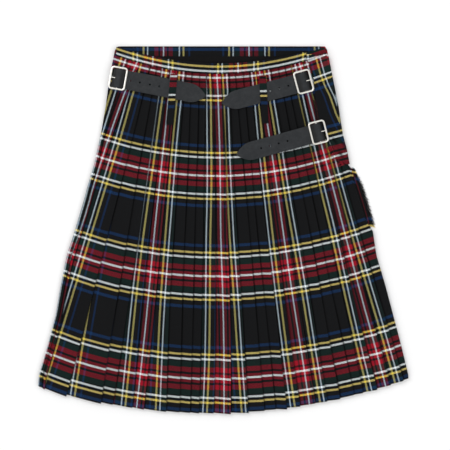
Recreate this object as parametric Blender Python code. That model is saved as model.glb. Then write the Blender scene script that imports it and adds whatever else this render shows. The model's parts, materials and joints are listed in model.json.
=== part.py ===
"""A pleated kilt of checked wool, buckled and laid flat with its pleats up.

The back lies on top: twenty-seven knife pleats that fan out from the waistband to the hem, each
with its folded edge to the right. Under it lie the lining, the under apron and the over apron.
The over apron is folded round the right side, so its fringed edge comes over the pleats.
Two straps at the waist and one at the hip run through centre-bar buckles.

Lengths are in millimetres until a mesh is made. X runs across the kilt, Y up towards the waist,
Z up from the surface that it lies on.
"""

import math
from typing import NamedTuple

import bmesh
import bpy
from mathutils import Vector

MM = 0.001

# Cloth, leather and the gap that neighbouring pieces keep.
CLOTH = 1.0
APRON_CLOTH = 1.2
LEATHER = 1.8
GAP = 0.3
LAYER = CLOTH + GAP

# The page point that becomes the part's origin.
PAGE_CENTRE = (0.4, -1.9)
# The back's length down its middle, and where its waist edge lies.
LENGTH = 610.0
WAIST_Y = 288.0
# The front's waist edge is straight and lies further up than the back's.
FRONT_TOP_Y = 320.6
FRONT_SHORTER = 4.0
UNDER_INSET = 5.0
# Shares of the front's length that get a row of points, where the under apron ends, and the lining's.
FRONT_SHARES = (0.0, 0.04, 0.17, 0.3, 0.36, 0.42, 0.5, 0.55, 0.7, 0.85)
UNDER_END = 0.985
LINING_SHARES = (0.0275, 0.06, 0.12)

# The level lines of the back are arcs: their radius at the waist and its growth per millimetre.
ARC_RADIUS = 467.0
ARC_GROWTH = 0.86
ARC_WAIST_EXTRA = 90.0
ARC_WAIST_FADE = 15.0
ARC_MIDDLE = -6.5
ARC_DRIFT = -0.0233
# How often a place that depends on itself is worked out again until it settles.
SETTLING_ROUNDS = 12

# Heights of the layers above the surface.
UNDER_APRON_Z = APRON_CLOTH + GAP
LINING_Z = UNDER_APRON_Z + APRON_CLOTH + GAP
LINING_END = 82.0
LINING_TAPER = 125.0
PLEAT_SLACK = 0.1
PLEAT_STACK = CLOTH + 3 * LAYER + PLEAT_SLACK

# How far a pleat's hidden fold reaches back, as a share of the pleat's width.
UNDERFOLD_SHARE = 0.5
NARROWEST_PLEAT = 5.5

# The waistband's height and its roll over the edge, where the flap begins, and where its own band ends.
BAND_HEIGHT = 16.0
BAND_EDGE = 2.0
BAND_JOIN_X = 150.0
BAND_END_X = 175.0


class Outline(NamedTuple):
    """The kilt's sides at one height up the page: the left edge, the pleats' and the apron's right."""

    y: float
    left: float
    pleats: float
    apron: float


OUTLINE = (
    Outline(y=320.6, left=-184.0, pleats=176.0, apron=179.0),
    Outline(y=314.0, left=-189.5, pleats=180.0, apron=183.0),
    Outline(y=270.0, left=-198.5, pleats=187.8, apron=191.5),
    Outline(y=218.0, left=-205.5, pleats=198.0, apron=202.0),
    Outline(y=165.0, left=-214.5, pleats=206.5, apron=210.5),
    Outline(y=139.0, left=-220.4, pleats=213.5, apron=217.5),
    Outline(y=112.0, left=-226.5, pleats=218.5, apron=222.5),
    Outline(y=77.0, left=-237.0, pleats=231.0, apron=235.0),
    Outline(y=51.0, left=-244.0, pleats=239.6, apron=243.6),
    Outline(y=12.0, left=-255.5, pleats=251.5, apron=254.8),
    Outline(y=-2.0, left=-259.5, pleats=262.5, apron=256.5),
    Outline(y=-46.0, left=-274.0, pleats=269.0, apron=258.0),
    Outline(y=-98.0, left=-284.5, pleats=284.5, apron=265.0),
    Outline(y=-151.0, left=-293.5, pleats=298.5, apron=272.0),
    Outline(y=-204.0, left=-307.5, pleats=312.5, apron=279.0),
    Outline(y=-256.0, left=-323.0, pleats=325.0, apron=286.0),
    Outline(y=-322.0, left=-328.0, pleats=328.0, apron=290.0),
)


class Fold(NamedTuple):
    """A pleat's folded edge: its place at the waist, halfway down and at the hem, and its drop there."""

    waist: float
    middle: float
    hem: float
    drop: float


MIDDLE_DOWN = 300.0
FOLDS = (
    Fold(waist=-162.5, middle=-249.5, hem=-340.0, drop=0.0),
    Fold(waist=-136.5, middle=-240.5, hem=-315.0, drop=2.0),
    Fold(waist=-124.5, middle=-192.0, hem=-275.5, drop=4.0),
    Fold(waist=-114.0, middle=-165.5, hem=-214.5, drop=3.0),
    Fold(waist=-106.5, middle=-146.5, hem=-194.0, drop=0.0),
    Fold(waist=-91.5, middle=-128.5, hem=-159.5, drop=1.0),
    Fold(waist=-79.0, middle=-107.5, hem=-139.0, drop=0.0),
    Fold(waist=-64.5, middle=-87.0, hem=-100.5, drop=1.5),
    Fold(waist=-54.5, middle=-67.5, hem=-77.0, drop=0.0),
    Fold(waist=-41.5, middle=-50.0, hem=-58.0, drop=1.0),
    Fold(waist=-30.0, middle=-35.5, hem=-42.0, drop=0.0),
    Fold(waist=-22.5, middle=-13.5, hem=-17.0, drop=1.0),
    Fold(waist=-5.0, middle=8.5, hem=13.5, drop=3.0),
    Fold(waist=8.5, middle=24.5, hem=45.0, drop=2.5),
    Fold(waist=19.0, middle=45.5, hem=72.5, drop=0.0),
    Fold(waist=32.5, middle=60.0, hem=92.5, drop=0.0),
    Fold(waist=43.5, middle=76.0, hem=112.5, drop=3.0),
    Fold(waist=55.5, middle=92.0, hem=135.0, drop=0.0),
    Fold(waist=66.5, middle=113.5, hem=161.0, drop=0.5),
    Fold(waist=79.5, middle=131.0, hem=183.0, drop=0.0),
    Fold(waist=92.0, middle=149.0, hem=205.0, drop=2.0),
    Fold(waist=103.5, middle=165.0, hem=229.0, drop=0.5),
    Fold(waist=114.0, middle=180.0, hem=245.0, drop=0.0),
    Fold(waist=124.5, middle=195.0, hem=270.0, drop=2.5),
    Fold(waist=134.0, middle=214.5, hem=293.5, drop=0.0),
    Fold(waist=144.5, middle=230.0, hem=316.0, drop=0.0),
)
PLEAT_ROWS = (0.0, 40.0, LINING_END, LINING_TAPER, 215.0, 262.0, 315.0, 345.0, 400.0, 505.0, LENGTH)

# The free edge of the over apron where it lies on the pleats, from the waist to the side.
FLAP_EDGE = ((300.0, 146.0), (272.5, 158.0), (180.0, 178.5), (131.0, 195.0), (108.0, 216.5))
FLAP_EASE = 12.0
# How far the flap's root reaches into the panel, and how far it stays inside the panel's faces.
FLAP_ROOT = 9.0
FLAP_INSIDE = 0.02
FLAP_ROWS = (306.0, 290.0, 262.0, 225.0, 180.0, 140.0, 115.0)


class Strap(NamedTuple):
    """A strap's middle line from its root to its tip, its width, and where its buckle sits."""

    name: str
    path: tuple
    width: float
    buckle_x: float
    tilt: float


STRAPS = (
    Strap(
        name="left",
        path=((-193.0, 265.4), (-167.0, 260.5), (-89.0, 245.0), (-29.5, 232.5)),
        width=33.0,
        buckle_x=-183.5,
        tilt=-10.0,
    ),
    Strap(
        name="right",
        path=((151.5, 260.6), (128.0, 254.0), (68.5, 238.0), (-2.5, 219.5)),
        width=33.0,
        buckle_x=141.0,
        tilt=195.0,
    ),
    Strap(
        name="lower",
        path=((176.6, 172.1), (153.0, 165.0), (56.0, 138.5), (23.0, 130.0)),
        width=32.0,
        buckle_x=167.0,
        tilt=194.0,
    ),
)
TIP_LENGTH = 30.0
TIP_POWER = 2.1
TIP_BLUNT = 0.04
# Where a strap gets a row of points: distances from the buckle's bar, and shares of its tip.
BUCKLE_STATIONS = (-6.5, -3.2, 0.0, 3.2, 6.5, 9.5, 13.0)
BODY_STATIONS = (0.25, 0.5, 0.75)
TIP_STATIONS = (1.0, 0.75, 0.5, 0.3, 0.15, 0.05, 0.0)
CURVE_STEPS = 32

BUCKLE_ALONG = 30.0
BUCKLE_ACROSS = 41.0
BUCKLE_CORNER = 4.5
WIRE = 3.0
WIRE_HEIGHT = 2.4
BAR_WIDTH = 3.2
BAR_HEIGHT = 2.0
BAR_RISE = 0.5
PRONG = 1.8
PRONG_HOLE = 3.2
# How far below and above the strap's rest its hole is cut.
HOLE_REACH = (-4.0, 12.0)
# The prong's bend, its reach past the frame, and the tapered stretch and dip at its end.
PRONG_BEND = 1.0
PRONG_REACH = 0.5
PRONG_TAPER = 3.0
PRONG_DIP = 0.3
PRONG_SIZES = (1.0, 1.0, 1.0, 0.9, 0.55)

LOOP_WIDTH = 14.0
LOOP_CLEAR = 5.0
# Where a loop starts and ends its rise, outside and inside the place where it clears its strap.
LOOP_RAMP = (1.5, 2.0)


class Loop(NamedTuple):
    """A belt loop: its middle, its upper and lower end, and the strap that runs under it."""

    name: str
    x: float
    lean: float
    top: float
    bottom: float
    strap: int


LOOPS = (
    Loop(name="left", x=-86.5, lean=-8.0, top=272.0, bottom=182.5, strap=0),
    Loop(name="right", x=70.5, lean=2.0, top=268.5, bottom=185.0, strap=1),
)


class Fringe(NamedTuple):
    """A stretch of the apron's fringe: the ends of its backing strip, its strands and their reach."""

    name: str
    rows: tuple
    strands: int
    reach: float
    side: int


FRINGES = (
    Fringe(name="apron_fringe_upper", rows=(226.0, 190.0), strands=14, reach=6.0, side=-1),
    Fringe(name="apron_fringe_lower", rows=(142.0, 112.0), strands=13, reach=7.0, side=-1),
    Fringe(name="apron_fringe_side", rows=(98.0, 4.0), strands=58, reach=11.0, side=1),
)
STRIP_WIDTH = 1.6
STRAND = 0.9
STRAND_DIRECTION = (0.94, -0.34)
STRAND_TAPER = ((0.6, 0.8), (1.0, 0.35))
# A strand's length: its share of the reach, and waves of an amount and a pace along the fringe.
STRAND_SHARE = 0.85
STRAND_WAVES = ((0.15, 2.3), (0.1, 5.1))
FLOOR_CLEARANCE = 0.2

COLOURS = {
    "tartan": ((0.012, 0.014, 0.014), 0.85, 0.0),
    "lining": ((0.010, 0.010, 0.011), 0.8, 0.0),
    "leather": ((0.028, 0.031, 0.034), 0.5, 0.0),
    "nickel": ((0.80, 0.78, 0.72), 0.25, 1.0),
}


def clear_scene():
    """Removes every object of the scene."""
    for obj in list(bpy.data.objects):
        bpy.data.objects.remove(obj, do_unlink=True)


def material(name):
    """The material of this name, made once."""
    if name in bpy.data.materials:
        return bpy.data.materials[name]
    colour, roughness, metallic = COLOURS[name]
    made = bpy.data.materials.new(name)
    made.use_nodes = True
    shader = made.node_tree.nodes["Principled BSDF"]
    shader.inputs["Base Color"].default_value = (*colour, 1.0)
    shader.inputs["Roughness"].default_value = roughness
    shader.inputs["Metallic"].default_value = metallic
    made.diffuse_color = (*colour, 1.0)
    return made


def add_object(name, vertices, faces, finish):
    """An object of these points in millimetres, with its faces turned outwards."""
    mesh = bpy.data.meshes.new(name)
    shift = Vector((*PAGE_CENTRE, 0.0))
    mesh.from_pydata([(Vector(v) - shift) * MM for v in vertices], [], faces)
    shell = bmesh.new()
    shell.from_mesh(mesh)
    bmesh.ops.recalc_face_normals(shell, faces=shell.faces)
    if shell.calc_volume(signed=True) < 0:
        bmesh.ops.reverse_faces(shell, faces=shell.faces)
    shell.to_mesh(mesh)
    shell.free()
    mesh.materials.append(material(finish))
    obj = bpy.data.objects.new(name, mesh)
    bpy.context.collection.objects.link(obj)
    return obj


def combine(base, tool, operation):
    """Joins the tool to the base or cuts it out, and removes the tool."""
    modifier = base.modifiers.new("combine", "BOOLEAN")
    modifier.object = tool
    modifier.operation = operation
    modifier.solver = "EXACT"
    bpy.context.view_layer.update()
    evaluated = base.evaluated_get(bpy.context.evaluated_depsgraph_get())
    mesh = bpy.data.meshes.new_from_object(evaluated)
    base.modifiers.clear()
    base.data = mesh
    bpy.data.objects.remove(tool, do_unlink=True)


def wall(name, rows, finish):
    """A closed wall: each row is a list of pairs, a point of the upper side and one of the lower."""
    count = len(rows[0])
    vertices = [point for row in rows for pair in row for point in pair]

    def at(row, column, side):
        return (row * count + column) * 2 + side

    faces = []
    last_row = len(rows) - 1
    last = count - 1
    for row in range(last_row):
        for column in range(last):
            upper = [at(row, column, 0), at(row, column + 1, 0)]
            upper += [at(row + 1, column + 1, 0), at(row + 1, column, 0)]
            lower = [at(row + 1, column, 1), at(row + 1, column + 1, 1)]
            lower += [at(row, column + 1, 1), at(row, column, 1)]
            faces += [upper, lower]
        faces.append([at(row, 0, 1), at(row, 0, 0), at(row + 1, 0, 0), at(row + 1, 0, 1)])
        faces.append([at(row, last, 0), at(row, last, 1), at(row + 1, last, 1), at(row + 1, last, 0)])
    for column in range(last):
        faces.append([at(0, column, 0), at(0, column, 1), at(0, column + 1, 1), at(0, column + 1, 0)])
        end = [at(last_row, column, 1), at(last_row, column, 0)]
        faces.append(end + [at(last_row, column + 1, 0), at(last_row, column + 1, 1)])
    return add_object(name, vertices, faces, finish)


def tube(name, rings, finish, closed=False):
    """A closed body through rings of points, capped at both ends or running round."""
    count = len(rings[0])
    vertices = [point for ring in rings for point in ring]
    faces = []
    stretches = len(rings) if closed else len(rings) - 1
    for ring in range(stretches):
        following = (ring + 1) % len(rings)
        for corner in range(count):
            beside = (corner + 1) % count
            face = [ring * count + corner, ring * count + beside]
            faces.append(face + [following * count + beside, following * count + corner])
    if not closed:
        faces.append(list(range(count))[::-1])
        faces.append([(len(rings) - 1) * count + corner for corner in range(count)])
    return add_object(name, vertices, faces, finish)


def between(table, key, value, column):
    """A column of the table at this key, on straight lines between its rows."""
    rows = sorted(table, key=lambda row: getattr(row, key))
    if value <= getattr(rows[0], key):
        return getattr(rows[0], column)
    for low, high in zip(rows, rows[1:]):
        if value <= getattr(high, key):
            share = (value - getattr(low, key)) / (getattr(high, key) - getattr(low, key))
            return getattr(low, column) * (1 - share) + getattr(high, column) * share
    return getattr(rows[-1], column)


def along(points, place, given=0, wanted=1):
    """One coordinate of a line of points where the other has this value."""
    ordered = sorted(points, key=lambda point: point[given])
    if place <= ordered[0][given]:
        return ordered[0][wanted]
    for low, high in zip(ordered, ordered[1:]):
        if place <= high[given]:
            share = (place - low[given]) / (high[given] - low[given])
            return low[wanted] * (1 - share) + high[wanted] * share
    return ordered[-1][wanted]


def level_y(x, down):
    """How far up the page a point of the back lies, down millimetres below the waist edge."""
    radius = ARC_RADIUS + ARC_GROWTH * down + ARC_WAIST_EXTRA * math.exp(-down / ARC_WAIST_FADE)
    middle = ARC_MIDDLE + ARC_DRIFT * down
    return WAIST_Y - down + (x - middle) ** 2 / (2 * radius)


def side_x(down, column):
    """Where a level of the back meets the outline's column."""
    x = 0.0
    for _ in range(SETTLING_ROUNDS):
        x = between(OUTLINE, "y", level_y(x, down), column)
    return x


def down_at(x, y):
    """How far below the waist edge the back is at a place of the page."""
    down = WAIST_Y - y
    for _ in range(SETTLING_ROUNDS):
        down += level_y(x, down) - y
    return down


def smooth_step(value, low, high):
    """From 0 at low to 1 at high, with soft ends."""
    share = min(max((value - low) / (high - low), 0.0), 1.0)
    return share * share * (3 - 2 * share)


def pleat_floor(down):
    """The height of the pleats' underside: over the lining at the waist, lower further down."""
    lift = 1 - smooth_step(down, LINING_END, LINING_TAPER)
    return LINING_Z + lift * LAYER


def pleat_top(x, y):
    """The height at which what lies on the pleats rests."""
    return pleat_floor(down_at(x, y)) + PLEAT_STACK + GAP


def fold_x(fold, down):
    """A folded edge's place at a level, on the parabola through its three places."""
    share_waist = (down - MIDDLE_DOWN) * (down - LENGTH) / (MIDDLE_DOWN * LENGTH)
    share_middle = down * (down - LENGTH) / (MIDDLE_DOWN * (MIDDLE_DOWN - LENGTH))
    share_hem = down * (down - MIDDLE_DOWN) / (LENGTH * (LENGTH - MIDDLE_DOWN))
    return fold.waist * share_waist + fold.middle * share_middle + fold.hem * share_hem


def fold_places(down):
    """The left edge, every folded edge and the right edge at a level, kept in order."""
    places = [side_x(down, "left") + CLOTH / 2]
    for fold in FOLDS:
        places.append(max(fold_x(fold, down), places[-1] + NARROWEST_PLEAT))
    places.append(side_x(down, "pleats") - CLOTH / 2)
    for index in range(len(places) - 2, 0, -1):
        places[index] = min(places[index], places[index + 1] - NARROWEST_PLEAT)
    return places


def offset_path(path, half):
    """The path's points moved to its left by half a thickness, with mitred corners."""
    normals = []
    for (x0, z0), (x1, z1) in zip(path, path[1:]):
        length = math.hypot(x1 - x0, z1 - z0)
        normals.append(((z0 - z1) / length, (x1 - x0) / length))
    moved = []
    for index, (x, z) in enumerate(path):
        before = normals[max(index - 1, 0)]
        after = normals[min(index, len(normals) - 1)]
        scale = half / (1 + before[0] * after[0] + before[1] * after[1])
        moved.append((x + (before[0] + after[0]) * scale, z + (before[1] + after[1]) * scale))
    return moved


def pleat_section(down):
    """The middle of the pleated cloth at a level: pairs of a point and its share of its pleat's drop."""
    places = fold_places(down)
    floor = pleat_floor(down) + CLOTH / 2
    low = floor + LAYER
    high = floor + 3 * LAYER
    edge = UNDER_APRON_Z + CLOTH / 2
    path = [((places[0], edge), 0.0), ((places[0], low), 0.0)]
    hang = smooth_step(down, 0.0, LENGTH)
    for before, fold, drop in zip(places, places[1:-1], (fold.drop for fold in FOLDS)):
        reach = (fold - before) * UNDERFOLD_SHARE
        path.append(((fold, high), drop * hang))
        path.append(((fold, high - LAYER), drop * hang))
        path.append(((fold - reach, low), 0.0))
        path.append(((fold - reach, low - LAYER), 0.0))
        path.append(((fold + CLOTH / 2 + GAP / 2, low), 0.0))
    path.append(((places[-1], high), 0.0))
    path.append(((places[-1], edge), 0.0))
    return path


def pleated_back():
    """The back: one folded wall from the left side to the right."""
    rows = []
    for down in PLEAT_ROWS:
        path = pleat_section(down)
        middle = [point for point, _ in path]
        upper = offset_path(middle, CLOTH / 2)
        lower = offset_path(middle, -CLOTH / 2)
        row = []
        for above, below, (_, drop) in zip(upper, lower, path):
            pair = [(x, level_y(x, down) - drop, z) for x, z in (above, below)]
            row.append(pair)
        rows.append(row)
    wall("pleated_back", rows, "tartan")


def front_y(x, share):
    """The page height of the front layers, from the straight waist edge to the hem's arc."""
    hem = level_y(x, LENGTH - FRONT_SHORTER)
    return FRONT_TOP_Y * (1 - share) + hem * share


def front_panel(name, finish, low, thickness, sides, shares):
    """A flat layer of the front between two sides, each a function of the page height."""
    rows = []
    columns = 6
    for share in shares:
        row = []
        left = right = 0.0
        for _ in range(SETTLING_ROUNDS):
            left = sides[0](front_y(left, share))
            right = sides[1](front_y(right, share))
        for column in range(columns + 1):
            x = left + (right - left) * column / columns
            y = front_y(x, share)
            row.append([(x, y, low + thickness), (x, y, low)])
        rows.append(row)
    return wall(name, rows, finish)


def outline_side(column, inset):
    """A side of a front layer: the outline's column moved inwards."""

    def place(y):
        return between(OUTLINE, "y", y, column) + inset

    return place


def over_apron():
    """The bottom layer, whose right side is folded up and lies on the pleats as a flap."""
    shares = FRONT_SHARES + (1.0,)
    sides = (outline_side("left", 0.0), outline_side("apron", -APRON_CLOTH / 2))
    panel = front_panel("over_apron", "tartan", 0.0, APRON_CLOTH, sides, shares)
    half = APRON_CLOTH / 2
    rows = []
    for y in FLAP_ROWS:
        fold = between(OUTLINE, "y", y, "apron") - half
        edge = along(FLAP_EDGE, y)
        top = flap_height(y) + half
        path = [(edge, top), (fold, top), (fold, half), (fold - FLAP_ROOT, half)]
        upper = offset_path(path, half)
        lower = offset_path(path, FLAP_INSIDE - half)
        row = []
        for above, below in zip(upper, lower):
            row.append([(x, y, max(z, FLAP_INSIDE)) for x, z in (above, below)])
        rows.append(row)
    flap = wall("flap", rows, "tartan")
    combine(panel, flap, "UNION")


def flap_height(y):
    """The flap's underside: just above the pleats at the flap's free edge, where they are highest."""
    return pleat_top(along(FLAP_EDGE, y), y + FLAP_EASE)


def under_apron():
    """The middle layer, seen at the waist, its hem a little higher than the over apron's."""
    shares = FRONT_SHARES + (UNDER_END,)
    inset = UNDER_INSET
    sides = (outline_side("left", inset), outline_side("pleats", -inset))
    front_panel("under_apron", "tartan", UNDER_APRON_Z, APRON_CLOTH, sides, shares)


def front_lining():
    """The black lining on the inside of the front, below its strip of bare cloth."""
    inset = UNDER_INSET
    sides = (outline_side("left", inset), outline_side("pleats", -inset))
    front_panel("front_lining", "lining", LINING_Z, CLOTH, sides, LINING_SHARES)


def waistband_back():
    """The band over the back's upper edge, rolled over it and down to the lining."""
    steps = 16
    left = side_x(0.0, "left")
    right = along(FLAP_EDGE, level_y(BAND_JOIN_X, 0.0)) - GAP
    top = pleat_floor(0.0) + PLEAT_STACK + GAP
    low = LINING_Z + LAYER
    rows = []
    for step in range(steps + 1):
        x = left + (right - left) * step / steps
        inner = level_y(x, 0.0) + GAP
        outer = inner + BAND_EDGE
        lower = level_y(x, BAND_HEIGHT)
        ring = [(lower, top), (inner, top), (inner, low), (outer, low)]
        ring += [(outer, top + CLOTH / 2), (outer - CLOTH / 2, top + CLOTH), (lower, top + CLOTH)]
        rows.append([(x, y, z) for y, z in ring])
    tube("waistband_back", rows, "tartan")


def waistband_apron():
    """The band on the flap, in line with the back's band."""
    steps = 3
    rows = []
    for step in range(steps + 1):
        lower = level_y(BAND_JOIN_X, BAND_HEIGHT)
        upper = FLAP_ROWS[0] - GAP
        y_low = lower + (level_y(BAND_END_X, BAND_HEIGHT) - lower) * step / steps
        x_left = along(FLAP_EDGE, upper)
        x_right = between(OUTLINE, "y", upper, "apron") - APRON_CLOTH
        x = x_left + (x_right - x_left) * step / steps
        base = flap_height(FLAP_ROWS[0]) + APRON_CLOTH + GAP
        ring = [(y_low, base), (upper, base), (upper, base + CLOTH), (y_low, base + CLOTH)]
        rows.append([(x, y, z) for y, z in ring])
    tube("waistband_apron", rows, "tartan")


def unit(x, y):
    """A direction of length one."""
    length = math.hypot(x, y)
    return x / length, y / length


def strap_line(strap, steps):
    """Points and directions along a strap's middle line, on a curve through its path."""
    path = [Vector((x, y, 0.0)) for x, y in strap.path]
    points = [path[0] * 2 - path[1]] + path + [path[-1] * 2 - path[-2]]
    line = []
    for index in range(1, len(points) - 2):
        before, start, end, after = points[index - 1 : index + 3]
        for step in range(steps):
            t = step / steps
            bend = (before * 2 - start * 5 + end * 4 - after) * t * t
            twist = (start * 3 - before - end * 3 + after) * t * t * t
            line.append((start * 2 + (end - before) * t + bend + twist) / 2)
    line.append(path[-1])
    return line


def strap_lift(away):
    """How far the strap is raised above the pleats, by its distance from the buckle's bar."""
    rise = BAR_RISE + BAR_HEIGHT + GAP
    return rise * (1 - smooth_step(away, BAR_WIDTH, BUCKLE_ALONG / 2 - WIRE - GAP))


def buckle_centre(strap):
    """The middle of a strap's buckle."""
    return strap.buckle_x, along(strap.path, strap.buckle_x)


def strap_rest(strap):
    """The height that a strap lies at: above the highest pleat under it."""
    return max(pleat_top(x, y) for x, y in strap.path)


def strap_width(strap, left_over):
    """Half the strap's width, narrowing in an arch over the last stretch to the tip."""
    if left_over >= TIP_LENGTH:
        return strap.width / 2
    share = 1 - left_over / TIP_LENGTH
    return strap.width / 2 * max(1 - share**TIP_POWER, TIP_BLUNT)


def strap_stations(strap, line):
    """Points of the middle line with their directions, close together at the buckle and the tip."""
    lengths = [0.0]
    for before, after in zip(line, line[1:]):
        lengths.append(lengths[-1] + (after - before).length)
    centre = Vector((*buckle_centre(strap), 0.0))
    nearest = min(range(len(line)), key=lambda index: (line[index] - centre).length)
    bar = lengths[nearest]
    total = lengths[-1]
    places = [0.0] + [bar + away for away in BUCKLE_STATIONS]
    start = places[-1]
    straight = total - TIP_LENGTH - start
    places += [start + straight * share for share in BODY_STATIONS]
    places += [total - TIP_LENGTH * share for share in TIP_STATIONS]
    stations = []
    for place in places:
        index = min(max(1, sum(length < place for length in lengths)), len(line) - 1)
        share = (place - lengths[index - 1]) / (lengths[index] - lengths[index - 1])
        point = line[index - 1].lerp(line[index], share)
        ahead = line[min(index + 2, len(line) - 1)] - line[max(index - 3, 0)]
        stations.append((point, unit(ahead.x, ahead.y), abs(place - bar), total - place))
    return stations


def make_strap(strap):
    """A strap with its arched tip, and the hole that its prong comes through."""
    rest = strap_rest(strap)
    rows = []
    for point, (ux, uy), away, left_over in strap_stations(strap, strap_line(strap, CURVE_STEPS)):
        half = strap_width(strap, left_over)
        low = rest + strap_lift(away)
        row = []
        for across in (-1.0, 1.0):
            x = point.x - uy * half * across
            y = point.y + ux * half * across
            row.append([(x, y, low + LEATHER), (x, y, low)])
        rows.append(row)
    made = wall(f"strap_{strap.name}", rows, "leather")
    prong_x, _ = prong_root()
    corners = []
    for reach in HOLE_REACH:
        ring = []
        for a, b in ((-1, -1), (1, -1), (1, 1), (-1, 1)):
            along_bar = prong_x + a * PRONG_HOLE / 2
            ring.append(buckle_point(strap, along_bar, b * PRONG_HOLE / 2, rest + reach))
        corners.append(ring)
    cutter = tube("hole", corners, "leather")
    combine(made, cutter, "DIFFERENCE")


def buckle_point(strap, forward, across, z):
    """A point in a buckle's own directions, forward along the strap towards its tip."""
    turn = math.radians(strap.tilt)
    centre = buckle_centre(strap)
    x = centre[0] + forward * math.cos(turn) - across * math.sin(turn)
    y = centre[1] + forward * math.sin(turn) + across * math.cos(turn)
    return x, y, z


def frame_corners():
    """The middle line of the buckle's frame: a rectangle with rounded corners."""
    along_half = (BUCKLE_ALONG - WIRE) / 2 - BUCKLE_CORNER
    across_half = (BUCKLE_ACROSS - WIRE) / 2 - BUCKLE_CORNER
    places = []
    steps = 3
    for quarter, (a, b) in enumerate(((1, 1), (-1, 1), (-1, -1), (1, -1))):
        for step in range(steps + 1):
            turn = math.radians(90 * quarter + 90 * step / steps)
            place_a = a * along_half + BUCKLE_CORNER * math.cos(turn)
            place_b = b * across_half + BUCKLE_CORNER * math.sin(turn)
            places.append((place_a, place_b, turn))
    return places


def make_buckle(strap):
    """A buckle: a rounded frame over the strap, and a bar across its middle under the strap."""
    rest = strap_rest(strap)
    middle = rest + LEATHER + GAP + WIRE_HEIGHT / 2
    rings = []
    for a, b, turn in frame_corners():
        ring = []
        for corner in range(6):
            angle = math.radians(60 * corner + 30)
            out = math.cos(angle) * WIRE / 2 / math.cos(math.radians(30))
            up = math.sin(angle) * WIRE_HEIGHT / 2
            ring.append(buckle_point(strap, a + out * math.cos(turn), b + out * math.sin(turn), middle + up))
        rings.append(ring)
    frame = tube(f"buckle_{strap.name}", rings, "nickel", closed=True)
    reach = (BUCKLE_ACROSS - WIRE) / 2
    low = rest + BAR_RISE
    ends = []
    for across in (-reach, reach):
        ring = []
        for a, z in ((-1, low), (1, low), (1, low + BAR_HEIGHT), (-1, low + BAR_HEIGHT)):
            ring.append(buckle_point(strap, a * BAR_WIDTH / 2, across, z))
        ends.append(ring)
    bar = tube("bar", ends, "nickel")
    combine(frame, bar, "UNION")


def prong_root():
    """Where the prong stands beside the bar, and how far it reaches over the frame's side."""
    return -(BAR_WIDTH / 2 + GAP + PRONG / 2), -(BUCKLE_ALONG / 2 + PRONG_REACH)


def make_prong(strap):
    """The prong: up beside the bar, through the strap's hole, and over the frame's side."""
    rest = strap_rest(strap)
    root, end = prong_root()
    low = rest + BAR_RISE + PRONG / 2
    over_strap = rest + BAR_RISE + BAR_HEIGHT + GAP + LEATHER + GAP + PRONG / 2
    path = [(root, low), (root, over_strap - PRONG_BEND), (root - PRONG_BEND, over_strap)]
    path += [(end + PRONG_TAPER, over_strap), (end, over_strap - PRONG_DIP)]
    rings = []
    upper = offset_path(path, 1.0)
    for (a, z), (a_out, z_out), size in zip(path, upper, PRONG_SIZES):
        ring = []
        for corner in range(6):
            angle = math.radians(60 * corner)
            out = math.cos(angle) * PRONG / 2 * size
            across = math.sin(angle) * PRONG / 2 * size
            ring.append(buckle_point(strap, a + (a_out - a) * out, across, z + (z_out - z) * out))
        rings.append(ring)
    tube(f"prong_{strap.name}", rings, "nickel")


def make_loop(loop):
    """A belt loop: a strip that lies on the pleats and rises over its strap."""
    strap = STRAPS[loop.strap]
    middle = along(strap.path, loop.x)
    half_strap = strap.width / 2 + LOOP_CLEAR
    over = strap_rest(strap) + LEATHER + 2 * GAP
    outside, inside = LOOP_RAMP
    stations = [loop.top, middle + half_strap + outside, middle + half_strap - inside, middle]
    stations += [middle - half_strap + inside, middle - half_strap - outside]
    stations += [(middle - half_strap + loop.bottom) / 2, loop.bottom]
    rows = []
    for index, y in enumerate(stations):
        lean = loop.lean * (loop.top - y) / (loop.top - loop.bottom)
        x = loop.x + lean
        low = over if 2 <= index <= 4 else pleat_top(x, y)
        left = x - LOOP_WIDTH / 2
        right = x + LOOP_WIDTH / 2
        row = [[(left, y, low + CLOTH), (left, y, low)], [(right, y, low + CLOTH), (right, y, low)]]
        rows.append(row)
    wall(f"belt_loop_{loop.name}", rows, "tartan")


def fringe_root(fringe, y):
    """The place, height and outward direction of a fringe's strip at a page height."""
    if fringe.side < 0:
        return along(FLAP_EDGE, y) - GAP, flap_height(y)
    x = between(OUTLINE, "y", y, "apron") - APRON_CLOTH / 2 + GAP
    return x, FLOOR_CLEARANCE


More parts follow.
